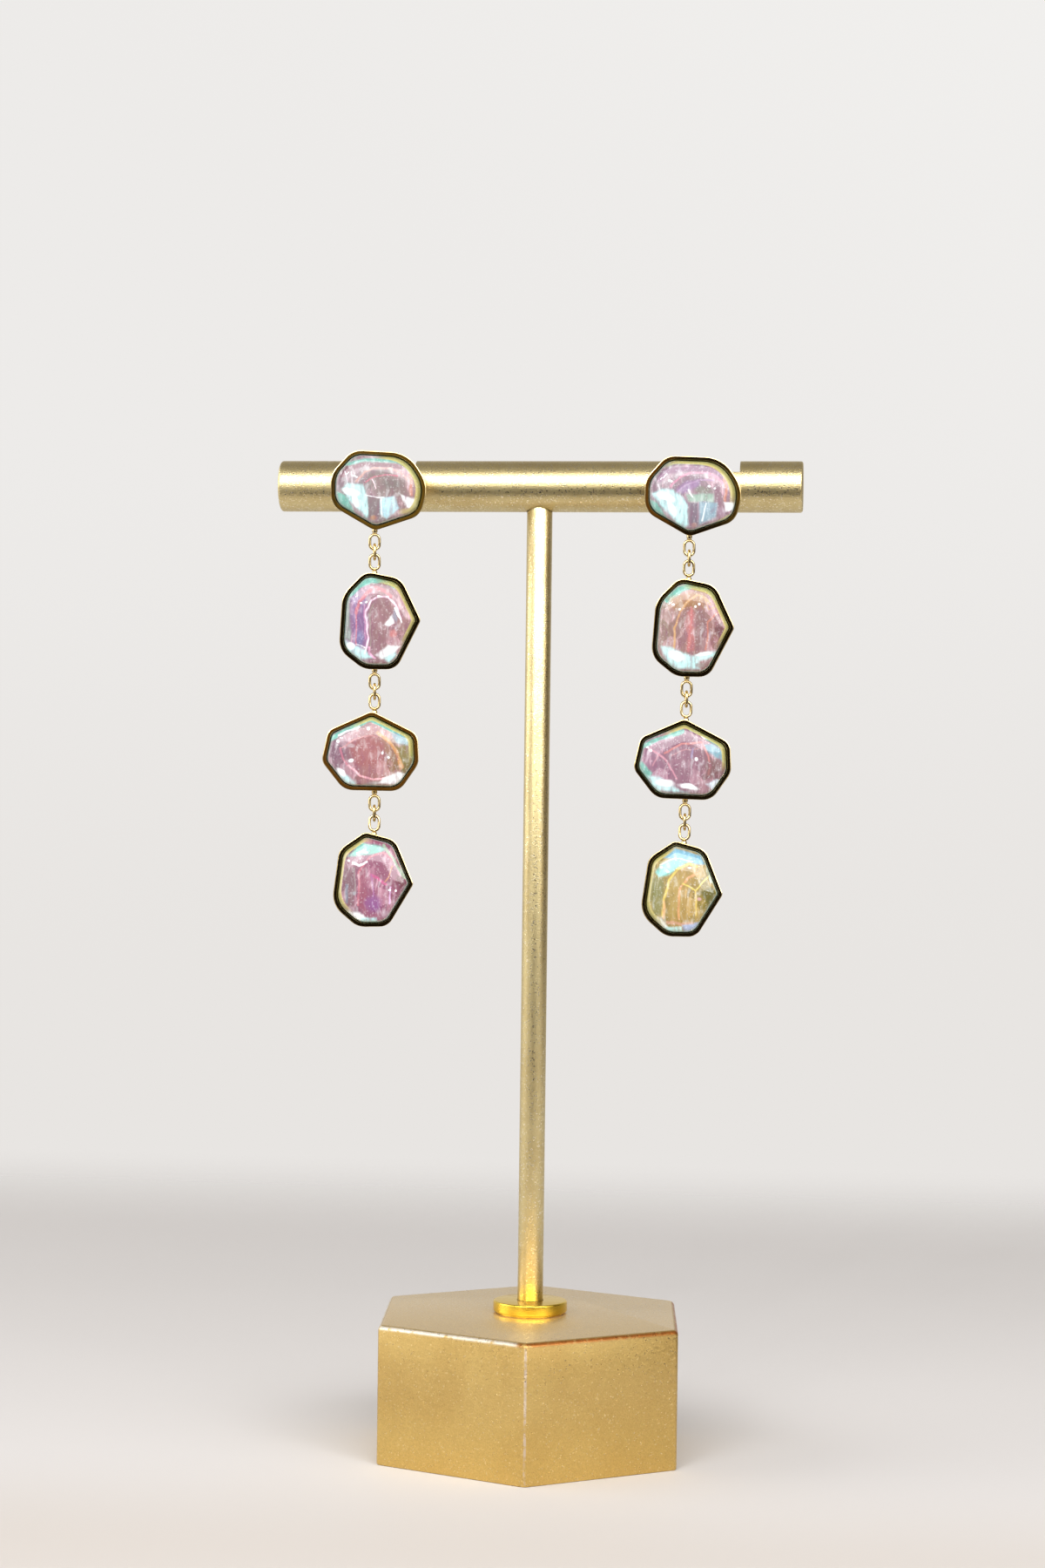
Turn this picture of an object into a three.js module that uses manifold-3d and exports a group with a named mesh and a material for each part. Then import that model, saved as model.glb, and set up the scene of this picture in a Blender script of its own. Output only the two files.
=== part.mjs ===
// A pair of four-stone drop earrings hanging on a T-bar display stand.
// Millimetres, +Z up, the front faces -Y. The origin is the centre of the base's underside.
import * as THREE from 'three';
import { mergeVertices } from 'three/addons/utils/BufferGeometryUtils.js';
import Module from 'manifold-3d';

const wasm = await Module();
wasm.setup();

// Base: a hexagonal block with one corner to the front, turned a little under the bar.
const BASE_ACROSS_FLATS = 46;
const BASE_HEIGHT = 21.5;
const BASE_TURN_DEG = 5;
const BASE_CORNER_RADIUS = 0.8;
const BASE_TOP_BEVEL = 0.7;
const BASE_FOOT_BEVEL = 0.3;

// Collar: a ring round the foot of the post, on a slightly narrower seat.
const COLLAR_DIAMETER = 11.6;
const COLLAR_HEIGHT = 2;
const COLLAR_SEAT_HEIGHT = 0.25;
const COLLAR_SEAT_STEP = 0.6;
const COLLAR_CHAMFER = 0.25;

// Post and bar.
const POST_DIAMETER = 4;
const POST_SHOWING = 126;
const BAR_DIAMETER = 8;
const BAR_LENGTH = 82.5;
const BAR_END_CHAMFER = 0.4;
const SOCKET_DEPTH = 2;
const SLIDING_CLEARANCE = 0.1;

// The two notches across the top of the bar, which the ear posts lie in.
const NOTCH_WIDTH = 12;
const NOTCH_DEPTH = 2;
const NOTCH_CENTRE = 25.5;

// Bezel settings: a cup that narrows to the back, with a flat polished rim and a leaning
// inner wall.
const BEZEL_DEPTH = 3.4;
const BEZEL_FLOOR = 0.6;
const BEZEL_TAPER = 0.6;
const BEZEL_BACK_CHAMFER = 0.3;
const RIM_CHAMFER = 0.1;
const RIM_WIDTH = 0.47;
const INNER_WALL_DEPTH = 0.5;
const INNER_WALL_LEAN = 0.08;
const SMALLEST_RADIUS = 0.4;
const RADIUS_LOSS = 0.4;

// Stones: a girdle inside the bezel and a domed crown of facets up to a table.
const STONE_CLEARANCE = 0.08;
const STONE_CROWN = 1.7;
const CROWN_SECTIONS = [
  { size: 1.0, rise: 0.0 },
  { size: 0.94, rise: 0.55 },
  { size: 0.75, rise: 0.86 },
  { size: 0.45, rise: 1.0 },
];

// Chain links and the solder beads that hold the end links to the settings.
const LINK_WIRE = 0.45;
const LINK_PLAY = 0.3;
const LINK_STRAIGHT = 0.8;
const SOLDER_HEIGHT = 0.75;
const SOLDER_RADIUS = 0.45;
const SOLDER_BITE = 0.2;
const CHAIN_DEPTH = 1.8;

// Ear post, soldered to the back of the top setting, and its clutch behind the bar.
const EAR_POST_DIAMETER = 0.8;
const EAR_POST_TAIL = 0.4;
const EAR_POST_POINT = 0.3;
const STUD_BACK_GAP = 0.3;
const CLUTCH_GAP = 0.3;
const CLUTCH_DISC_DIAMETER = 4.4;
const CLUTCH_DISC_THICKNESS = 0.6;
const CLUTCH_BODY_DIAMETER = 2.8;
const CLUTCH_LENGTH = 2;

// Smoothness of the faceted model.
const ARC_STEPS = 3;
const BAR_SIDES = 36;
const POST_SIDES = 24;
const COLLAR_SIDES = 40;
const EAR_POST_SIDES = 10;
const CLUTCH_SIDES = 14;
const BEND_STEPS = 7;
const WIRE_SIDES = 6;

// Each setting's outline runs counter-clockwise seen from the front. x and z are shares of its
// width and height from the lower left, radius is a share of the width, and hangs is the share
// of the width at which the chain's plumb line crosses the setting. A setting that hangs
// looking upwards is tipped by tipDeg.
const SETTINGS = [
  {
    width: 15.0, height: 12.5, hangs: 0.466, tipDeg: 0,
    corners: [
      { x: 0.46, z: 0.0, radius: 0.13 },
      { x: 0.935, z: 0.2, radius: 0.19 },
      { x: 1.01, z: 0.58, radius: 0.32 },
      { x: 0.8, z: 0.98, radius: 0.34 },
      { x: 0.22, z: 1.0, radius: 0.2 },
      { x: 0.0, z: 0.7, radius: 0.24 },
      { x: 0.0, z: 0.31, radius: 0.2 },
    ],
  },
  {
    width: 12.7, height: 15.1, hangs: 0.444, tipDeg: 0,
    corners: [
      { x: 0.3, z: 0.0, radius: 0.28 },
      { x: 0.7, z: 0.0, radius: 0.2 },
      { x: 1.005, z: 0.51, radius: 0.08 },
      { x: 0.76, z: 0.94, radius: 0.22 },
      { x: 0.32, z: 1.01, radius: 0.18 },
      { x: 0.04, z: 0.77, radius: 0.32 },
      { x: -0.005, z: 0.2, radius: 0.26 },
    ],
  },
  {
    width: 15.1, height: 12.4, hangs: 0.54, tipDeg: 4,
    corners: [
      { x: 0.23, z: 0.015, radius: 0.2 },
      { x: 0.8, z: 0.0, radius: 0.18 },
      { x: 1.0, z: 0.35, radius: 0.2 },
      { x: 0.985, z: 0.72, radius: 0.13 },
      { x: 0.515, z: 1.01, radius: 0.1 },
      { x: 0.065, z: 0.765, radius: 0.1 },
      { x: -0.003, z: 0.378, radius: 0.12 },
    ],
  },
  {
    width: 12.6, height: 14.55, hangs: 0.492, tipDeg: 7,
    corners: [
      { x: 0.32, z: -0.005, radius: 0.26 },
      { x: 0.695, z: 0.0, radius: 0.18 },
      { x: 1.005, z: 0.455, radius: 0.07 },
      { x: 0.775, z: 0.925, radius: 0.2 },
      { x: 0.39, z: 1.01, radius: 0.11 },
      { x: 0.075, z: 0.82, radius: 0.2 },
      { x: -0.005, z: 0.23, radius: 0.3 },
    ],
  },
];

// Where each earring hangs along the bar, how far above the middle of its top setting the ear
// post is soldered, how far the drop leans to the left, and how far each setting turns to the
// right, top to bottom.
const EARRINGS = [
  { side: 'left', x: -25, earPostRise: 4.0, leanDeg: -0.7, turnsDeg: [12, 14, 8, 2] },
  { side: 'right', x: 24, earPostRise: 4.7, leanDeg: 0.4, turnsDeg: [5, 8, 9, -4] },
];

const finishes = {
  polishedGold: new THREE.MeshStandardMaterial({ color: 0xd0a850, metalness: 1, roughness: 0.12 }),
  satinGold: new THREE.MeshStandardMaterial({ color: 0xc9b27c, metalness: 1, roughness: 0.42 }),
  collarGold: new THREE.MeshStandardMaterial({ color: 0xe0b952, metalness: 1, roughness: 0.2 }),
  flakeGold: new THREE.MeshStandardMaterial({ color: 0xc2a86c, metalness: 0.8, roughness: 0.5 }),
  stones: [0xb98fb4, 0xb56a9c, 0xc58a90, 0xb97ba0].map((color) => (
    new THREE.MeshStandardMaterial({ color, metalness: 0.2, roughness: 0.08 }))),
};

const degrees = THREE.MathUtils.degToRad;

// Closed body through rings of equal count, each counter-clockwise seen from the end of the loft.
function loft(rings) {
  const count = rings[0].length;
  const positions = rings.flat().flatMap((point) => [point.x, point.y, point.z]);
  const index = [];
  for (let level = 0; level < rings.length - 1; level += 1) {
    for (let i = 0; i < count; i += 1) {
      const a = level * count + i;
      const b = level * count + ((i + 1) % count);
      index.push(a, b, b + count, a, b + count, a + count);
    }
  }
  const last = (rings.length - 1) * count;
  for (let i = 1; i < count - 1; i += 1) {
    index.push(0, i + 1, i, last, last + i, last + i + 1);
  }
  const geometry = new THREE.BufferGeometry();
  geometry.setAttribute('position', new THREE.Float32BufferAttribute(positions, 3));
  geometry.setIndex(index);
  return geometry;
}

// Outline of a convex polygon with rounded corners, moved inwards by inset. The corners of an
// inner outline lose RADIUS_LOSS of the inset, so they stay rounder than parallel ones.
function roundedOutline(corners, inset = 0) {
  const edges = corners.map((corner, i) => {
    const next = corners[(i + 1) % corners.length];
    return new THREE.Vector2(next.x - corner.x, next.z - corner.z).normalize();
  });
  const moved = corners.map((corner, i) => {
    const before = edges[(i + corners.length - 1) % corners.length];
    const after = edges[i];
    const reach = inset / (1 + before.dot(after));
    const x = corner.x - reach * (before.y + after.y);
    const z = corner.z + reach * (before.x + after.x);
    return new THREE.Vector2(x, z);
  });
  return moved.flatMap((corner, i) => {
    const before = edges[(i + corners.length - 1) % corners.length];
    const after = edges[i];
    const previous = moved[(i + corners.length - 1) % corners.length];
    const next = moved[(i + 1) % corners.length];
    const turn = Math.acos(THREE.MathUtils.clamp(before.dot(after), -1, 1));
    const room = 0.49 * Math.min(corner.distanceTo(previous), corner.distanceTo(next));
    const wanted = Math.max(corners[i].radius - RADIUS_LOSS * inset, SMALLEST_RADIUS);
    const radius = Math.min(wanted, room / Math.tan(turn / 2));
    const start = corner.clone().addScaledVector(before, -radius * Math.tan(turn / 2));
    const inward = new THREE.Vector2(-before.y, before.x);
    const centre = start.addScaledVector(inward, radius);
    return Array.from({ length: ARC_STEPS + 1 }, (_, step) => {
      const spoke = inward.clone().rotateAround(new THREE.Vector2(), (turn * step) / ARC_STEPS);
      return centre.clone().addScaledVector(spoke, -radius);
    });
  });
}

// Lowest and highest z of an outline at a given x.
function outlineSpan(outline, x) {
  const heights = outline.flatMap((point, i) => {
    const next = outline[(i + 1) % outline.length];
    const share = (x - point.x) / (next.x - point.x);
    return share >= 0 && share <= 1 ? [point.y + share * (next.y - point.y)] : [];
  });
  return { bottom: Math.min(...heights), top: Math.max(...heights) };
}

function toSolid(geometry) {
  const bare = new THREE.BufferGeometry();
  bare.setAttribute('position', geometry.getAttribute('position').clone());
  if (geometry.index) bare.setIndex(geometry.index.clone());
  const merged = mergeVertices(bare, 1e-5);
  return new wasm.Manifold(new wasm.Mesh({
    numProp: 3,
    vertProperties: new Float32Array(merged.getAttribute('position').array),
    triVerts: new Uint32Array(merged.index.array),
  }));
}

function toGeometry(solid) {
  const mesh = solid.getMesh();
  const geometry = new THREE.BufferGeometry();
  geometry.setAttribute('position', new THREE.BufferAttribute(mesh.vertProperties, 3));
  geometry.setIndex(new THREE.BufferAttribute(mesh.triVerts, 1));
  return geometry;
}

function fuse(geometries) {
  const solids = geometries.map(toSolid);
  return toGeometry(solids.reduce((whole, solid) => whole.add(solid)));
}

function namedMesh(name, geometry, material) {
  const mesh = new THREE.Mesh(geometry, material);
  mesh.name = name;
  return mesh;
}

const barRadius = BAR_DIAMETER / 2;
const postRadius = POST_DIAMETER / 2;
const earPostRadius = EAR_POST_DIAMETER / 2;
const barAxisHeight = BASE_HEIGHT + POST_SHOWING + barRadius;
const notchFloor = barRadius - NOTCH_DEPTH;

function baseMesh() {
  const reach = BASE_ACROSS_FLATS / Math.sqrt(3);
  const corners = Array.from({ length: 6 }, (_, i) => ({
    x: reach * Math.sin((i * Math.PI) / 3),
    z: -reach * Math.cos((i * Math.PI) / 3),
    radius: BASE_CORNER_RADIUS,
  }));
  const levels = [
    { height: 0, inset: BASE_FOOT_BEVEL },
    { height: BASE_FOOT_BEVEL, inset: 0 },
    { height: BASE_HEIGHT - BASE_TOP_BEVEL, inset: 0 },
    { height: BASE_HEIGHT, inset: BASE_TOP_BEVEL },
  ];
  const rings = levels.map(({ height, inset }) => (
    roundedOutline(corners, inset).map((point) => new THREE.Vector3(point.x, point.y, height))));
  const mesh = namedMesh('base', loft(rings), finishes.flakeGold);
  mesh.rotation.z = degrees(BASE_TURN_DEG);
  return mesh;
}

function collarMesh() {
  const outer = COLLAR_DIAMETER / 2;
  const bore = postRadius + SLIDING_CLEARANCE;
  const profile = [
    [bore, 0],
    [outer - COLLAR_SEAT_STEP, 0],
    [outer - COLLAR_SEAT_STEP, COLLAR_SEAT_HEIGHT],
    [outer - COLLAR_CHAMFER, COLLAR_SEAT_HEIGHT],
    [outer, COLLAR_SEAT_HEIGHT + COLLAR_CHAMFER],
    [outer, COLLAR_HEIGHT - COLLAR_CHAMFER],
    [outer - COLLAR_CHAMFER, COLLAR_HEIGHT],
    [bore, COLLAR_HEIGHT],
    [bore, 0],
  ].map(([radius, height]) => new THREE.Vector2(radius, height));
  const ring = new THREE.LatheGeometry(profile, COLLAR_SIDES).rotateX(Math.PI / 2);
  const mesh = namedMesh('collar', ring, finishes.collarGold);
  mesh.position.z = BASE_HEIGHT;
  return mesh;
}

function postMesh() {
  const length = POST_SHOWING + SOCKET_DEPTH;
  const rod = new THREE.CylinderGeometry(postRadius, postRadius, length, POST_SIDES);
  rod.rotateX(Math.PI / 2);
  const mesh = namedMesh('post', rod, finishes.satinGold);
  mesh.position.z = BASE_HEIGHT + length / 2;
  return mesh;
}

// The bar, with its notches and the socket that the post goes up into.
function barMesh() {
  const half = BAR_LENGTH / 2;
  const profile = [
    [0, -half],
    [barRadius - BAR_END_CHAMFER, -half],
    [barRadius, -half + BAR_END_CHAMFER],
    [barRadius, half - BAR_END_CHAMFER],
    [barRadius - BAR_END_CHAMFER, half],
    [0, half],
  ].map(([radius, along]) => new THREE.Vector2(radius, along));
  const rod = new THREE.LatheGeometry(profile, BAR_SIDES).rotateZ(Math.PI / 2);

  const notches = EARRINGS.map(({ x }) => {
    const box = new THREE.BoxGeometry(NOTCH_WIDTH, 2 * BAR_DIAMETER, BAR_DIAMETER);
    return box.translate(Math.sign(x) * NOTCH_CENTRE, 0, notchFloor + BAR_DIAMETER / 2);
  });

  const socketRadius = postRadius + SLIDING_CLEARANCE;
  const socketLength = barRadius + SLIDING_CLEARANCE;
  const socket = new THREE.CylinderGeometry(socketRadius, socketRadius, socketLength, POST_SIDES);
  socket.rotateX(Math.PI / 2);
  socket.translate(0, 0, SOCKET_DEPTH - barRadius + SLIDING_CLEARANCE - socketLength / 2);

  const cut = [...notches, socket].reduce(
    (solid, tool) => solid.subtract(toSolid(tool)),
    toSolid(rod),
  );
  const mesh = namedMesh('bar', toGeometry(cut), finishes.satinGold);
  mesh.position.z = barAxisHeight;
  return mesh;
}

const linkBend = LINK_WIRE + LINK_PLAY;
const linkReach = 2 * linkBend + LINK_STRAIGHT;

// A closed oval link standing in the XZ plane, centred on the origin.
function linkGeometry() {
  const sections = [];
  for (const end of [1, -1]) {
    for (let step = 0; step <= BEND_STEPS; step += 1) {
      const angle = (end > 0 ? 0 : Math.PI) + (Math.PI * step) / BEND_STEPS;
      const out = new THREE.Vector3(Math.cos(angle), 0, Math.sin(angle));
      const centre = out.clone().multiplyScalar(linkBend);
      centre.z += (end * LINK_STRAIGHT) / 2;
      sections.push({ centre, out });
    }
  }
  const positions = sections.flatMap(({ centre, out }) => (
    Array.from({ length: WIRE_SIDES }, (_, side) => {
      const angle = (2 * Math.PI * side) / WIRE_SIDES;
      const point = centre.clone().addScaledVector(out, (LINK_WIRE / 2) * Math.cos(angle));
      point.y += (LINK_WIRE / 2) * Math.sin(angle);
      return point.toArray();
    }).flat()));
  const index = [];
  for (let i = 0; i < sections.length; i += 1) {
    for (let side = 0; side < WIRE_SIDES; side += 1) {
      const next = ((i + 1) % sections.length) * WIRE_SIDES;
      const a = i * WIRE_SIDES + side;
      const b = i * WIRE_SIDES + ((side + 1) % WIRE_SIDES);
      const c = next + ((side + 1) % WIRE_SIDES);
      const d = next + side;
      index.push(a, b, c, a, c, d);
    }
  }
  const geometry = new THREE.BufferGeometry();
  geometry.setAttribute('position', new THREE.Float32BufferAttribute(positions, 3));
  geometry.setIndex(index);
  return geometry;
}

// A setting's corners in millimetres, with x from the plumb line and z from its mid height.
function settingCorners({ width, height, hangs, corners }) {
  return corners.map(({ x, z, radius }) => ({
    x: (x - hangs) * width,
    z: (z - 0.5) * height,
    radius: radius * width,
  }));
}

// Ring of a setting's outline, inset from its outer edge, at a depth forward of its back.
function settingRing(corners, inset, depth) {
  return roundedOutline(corners, inset)
    .map((point) => new THREE.Vector3(point.x, CHAIN_DEPTH - depth, point.y));
}

const rimInset = RIM_CHAMFER + RIM_WIDTH;
const wallInset = rimInset + INNER_WALL_LEAN;
const girdleDepth = BEZEL_DEPTH - INNER_WALL_DEPTH;
const taperInset = (depth) => BEZEL_TAPER * (1 - depth / (BEZEL_DEPTH - RIM_CHAMFER));

function bezelGeometry(corners) {
  return loft([
    settingRing(corners, taperInset(0) + BEZEL_BACK_CHAMFER, 0),
    settingRing(corners, taperInset(BEZEL_BACK_CHAMFER), BEZEL_BACK_CHAMFER),
    settingRing(corners, 0, BEZEL_DEPTH - RIM_CHAMFER),
    settingRing(corners, RIM_CHAMFER, BEZEL_DEPTH),
    settingRing(corners, rimInset, BEZEL_DEPTH),
    settingRing(corners, wallInset, girdleDepth),
    settingRing(corners, wallInset, BEZEL_FLOOR),
  ]);
}

function stoneGeometry(corners) {
  const inset = wallInset + STONE_CLEARANCE;
  const girdle = settingRing(corners, inset, girdleDepth);
  const centre = girdle
    .reduce((sum, point) => sum.add(point), new THREE.Vector3())
    .divideScalar(girdle.length);
  const crown = CROWN_SECTIONS.map(({ size, rise }) => girdle.map((point) => {
    const moved = centre.clone().lerp(point, size);
    moved.y -= rise * STONE_CROWN;
    return moved;
  }));
  return loft([settingRing(corners, inset, BEZEL_FLOOR + STONE_CLEARANCE), ...crown]);
}

// An end link and its solder bead, above (side 1) or below (side -1) a setting's edge.
function solderedLink(edge, side) {
  const bead = new THREE.SphereGeometry(SOLDER_RADIUS, 10, 6);
  bead.scale(1, 1, (SOLDER_HEIGHT / 2 + SOLDER_BITE) / SOLDER_RADIUS);
  bead.translate(0, 0, edge + (side * SOLDER_HEIGHT) / 2);
  const link = linkGeometry();
  link.translate(0, 0, edge + side * (SOLDER_HEIGHT + LINK_WIRE / 2 + linkReach / 2));
  return [bead, link];
}

// Ear post along Y, from inside the setting's back to behind the clutch.
function earPostGeometry(length) {
  const profile = [
    [0, -BEZEL_FLOOR / 2],
    [earPostRadius, -BEZEL_FLOOR / 2],
    [earPostRadius, length - EAR_POST_POINT],
    [earPostRadius / 2, length],
    [0, length],
  ].map(([radius, along]) => new THREE.Vector2(radius, along));
  return new THREE.LatheGeometry(profile, EAR_POST_SIDES);
}

function clutchGeometry() {
  const bore = earPostRadius + SLIDING_CLEARANCE;
  const disc = CLUTCH_DISC_DIAMETER / 2;
  const body = CLUTCH_BODY_DIAMETER / 2;
  const profile = [
    [bore, 0],
    [disc, 0],
    [disc, CLUTCH_DISC_THICKNESS],
    [body, CLUTCH_DISC_THICKNESS],
    [body, CLUTCH_LENGTH - CLUTCH_DISC_THICKNESS / 2],
    [body - CLUTCH_DISC_THICKNESS / 2, CLUTCH_LENGTH],
    [bore, CLUTCH_LENGTH],
    [bore, 0],
  ].map(([radius, along]) => new THREE.Vector2(radius, along));
  return new THREE.LatheGeometry(profile, CLUTCH_SIDES);
}

// Distance along the plumb line from a setting's edge to the far wire of its soldered link.
const edgeToWire = SOLDER_HEIGHT + LINK_WIRE / 2 + linkReach;

// One setting with its stone, in a group whose origin is on the plumb line at mid height.
function settingGroup(side, row, { links, extras = [] }) {
  const corners = settingCorners(SETTINGS[row]);
  const span = outlineSpan(roundedOutline(corners, taperInset(CHAIN_DEPTH)), 0);
  const parts = [bezelGeometry(corners)];
  if (links.includes('top')) parts.push(...solderedLink(span.top, 1));
  if (links.includes('bottom')) parts.push(...solderedLink(span.bottom, -1));
  const group = new THREE.Group();
  group.add(
    namedMesh(`${side}_setting_${row + 1}`, fuse([...parts, ...extras]), finishes.polishedGold),
    namedMesh(`${side}_stone_${row + 1}`, stoneGeometry(corners), finishes.stones[row]),
  );
  return { group, span };
}

// The stud: the top setting turned on the bar, with its ear post in the notch and its clutch.
function stud({ side, x, earPostRise, turnsDeg }) {
  const turn = degrees(turnsDeg[0]);
  const [top] = SETTINGS;
  const backGap = STUD_BACK_GAP + (top.width / 2) * Math.sin(Math.abs(turn));
  const clutchRoom = (CLUTCH_DISC_DIAMETER / 2) * Math.sin(Math.abs(turn));
  const throughBar = (backGap + BAR_DIAMETER + clutchRoom) / Math.cos(turn) + CLUTCH_GAP;
  const earPostX = (0.5 - top.hangs) * top.width;

  const earPost = earPostGeometry(throughBar + CLUTCH_LENGTH + EAR_POST_TAIL);
  earPost.translate(earPostX, CHAIN_DEPTH, earPostRise);
  const { group, span } = settingGroup(side, 0, { links: ['bottom'], extras: [earPost] });
  const clutch = namedMesh(`${side}_clutch`, clutchGeometry(), finishes.polishedGold);
  clutch.position.set(earPostX, CHAIN_DEPTH + throughBar, earPostRise);
  group.add(clutch);

  const postAxis = barAxisHeight + notchFloor + earPostRadius + SLIDING_CLEARANCE;
  group.rotation.z = turn;
  group.position.set(x, -barRadius - backGap - CHAIN_DEPTH * Math.cos(turn), postAxis - earPostRise);
  const wire = group.position.clone();
  wire.z += span.bottom - edgeToWire;
  return { group, wire };
}

// The drop under the stud: its origin is the centre of the wire that it swings on.
function drop({ side, leanDeg, turnsDeg }) {
  const group = new THREE.Group();
  group.rotation.y = degrees(leanDeg);
  const wire = new THREE.Vector3();
  for (let row = 1; row < SETTINGS.length; row += 1) {
    const looseLink = namedMesh(`${side}_link_${row}`, linkGeometry(), finishes.polishedGold);
    looseLink.position.copy(wire);
    looseLink.position.z -= LINK_STRAIGHT / 2;
    looseLink.rotation.z = Math.PI / 2 + degrees((turnsDeg[row - 1] + turnsDeg[row]) / 2);
    group.add(looseLink);

    const isLast = row === SETTINGS.length - 1;
    const links = isLast ? ['top'] : ['top', 'bottom'];
    const { group: setting, span } = settingGroup(side, row, { links });
    const hung = new THREE.Group();
    setting.position.z = -edgeToWire - span.top;
    hung.add(setting);
    hung.position.copy(wire);
    hung.position.z -= LINK_STRAIGHT;
    hung.rotation.set(degrees(-SETTINGS[row].tipDeg), 0, degrees(turnsDeg[row]), 'ZXY');
    group.add(hung);
    hung.updateMatrix();
    const lowest = setting.position.z + span.bottom - edgeToWire;
    wire.set(0, 0, lowest).applyMatrix4(hung.matrix);
  }
  return group;
}

const model = new THREE.Group();
model.add(baseMesh(), collarMesh(), postMesh(), barMesh());
for (const earring of EARRINGS) {
  const { group, wire } = stud(earring);
  const hanging = drop(earring);
  hanging.position.copy(wire);
  model.add(group, hanging);
}

export default model;
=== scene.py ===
"""Looks of a pair of drop earrings that hang on a T-bar display stand."""

import logging
import math
from collections.abc import Callable, Sequence
from dataclasses import dataclass, field
from enum import Enum
from typing import Optional, Union

import bmesh
import bpy
from mathutils import Matrix, Vector


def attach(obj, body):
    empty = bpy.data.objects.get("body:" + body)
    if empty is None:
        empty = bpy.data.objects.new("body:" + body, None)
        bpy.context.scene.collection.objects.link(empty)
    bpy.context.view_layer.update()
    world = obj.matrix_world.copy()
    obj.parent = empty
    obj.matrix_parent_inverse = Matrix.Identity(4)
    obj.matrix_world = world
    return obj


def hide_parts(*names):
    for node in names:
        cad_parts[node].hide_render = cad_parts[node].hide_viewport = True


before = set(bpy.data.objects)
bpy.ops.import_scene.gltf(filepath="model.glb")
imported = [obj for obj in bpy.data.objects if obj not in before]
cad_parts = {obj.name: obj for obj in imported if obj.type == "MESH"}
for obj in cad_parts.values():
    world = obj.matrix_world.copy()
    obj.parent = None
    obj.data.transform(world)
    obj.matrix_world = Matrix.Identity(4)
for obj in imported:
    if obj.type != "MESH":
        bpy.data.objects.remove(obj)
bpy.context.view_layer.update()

MM = 0.001
TINY = 1e-6
log = logging.getLogger("earrings")

# The marks in the stones are measured in strokes.
STROKE = 0.1375 * MM
# A dome's section is a superellipse of this power.
DOME_POWER = 3.2
# Colours whose three parts add up to more than this are reflections, and aren't tinted.
PALE = 1.8
# Share of a glow's reach that has its full strength.
GLOW_CORE = 0.4
# Attribute that is one on the polished flat of a rim.
RIM_MARK = "rim"
# A face looks along an axis when that part of its normal is longer than this.
FACING = 0.99
# A face with more corners than this is a whole outline or disc.
MANY_CORNERS = 8

# In the stones' marks, WHITE, ICE, AQUA and SKY are painted reflections: the light from above near
# a stone's top, the pale floor near its bottom, and white highlights of the lamps.
WHITE = "f4fbff"
ICE = "b8eaec"
AQUA = "88cfce"
GREY = "9aa3a6"
SKY = "7fb6d6"
PINK = "ea86a6"
CORAL = "e48f84"
PEACH = "efb287"
LILAC = "cfa6d8"
VIOLET = "9a70b0"
WINE = "8a4c62"

Piece = bpy.types.Object
Material = bpy.types.Material
Colour = tuple[float, float, float]
Point = tuple[float, float]
Value = Union[float, str, Sequence[float], "Wire"]


def paint(code: str) -> Colour:
    """Turns a screen colour, six hexadecimal digits, into the linear one that a shader takes."""
    parts = [int(code[i:i + 2], 16) / 255 for i in (0, 2, 4)]
    linear = [c / 12.92 if c <= 0.04045 else ((c + 0.055) / 1.055) ** 2.4 for c in parts]
    return linear[0], linear[1], linear[2]


def arithmetic(operation: str, swapped: bool = False) -> Callable[["Wire", Value], "Wire"]:
    """Makes one of a wire's arithmetic methods.

    Args:
        operation: The Math node's operation.
        swapped: Whether the wire is the second value, as in 1 - mask.

    Returns:
        The method.
    """
    def method(wire: "Wire", other: Value) -> "Wire":
        """Adds the Math node."""
        return wire.graph.maths(operation, *((other, wire) if swapped else (wire, other)))

    return method


@dataclass(frozen=True, eq=False)
class Wire:
    """A socket of a shader graph that Python's own operators work on."""

    graph: "Graph"
    socket: bpy.types.NodeSocket

    __add__ = arithmetic("ADD")
    __radd__ = arithmetic("ADD", swapped=True)
    __sub__ = arithmetic("SUBTRACT")
    __rsub__ = arithmetic("SUBTRACT", swapped=True)
    __mul__ = arithmetic("MULTIPLY")
    __rmul__ = arithmetic("MULTIPLY", swapped=True)
    __truediv__ = arithmetic("DIVIDE")
    __pow__ = arithmetic("POWER")

    def __abs__(self) -> "Wire":
        """Takes the size without the sign."""
        return self.graph.maths("ABSOLUTE", self)


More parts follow.
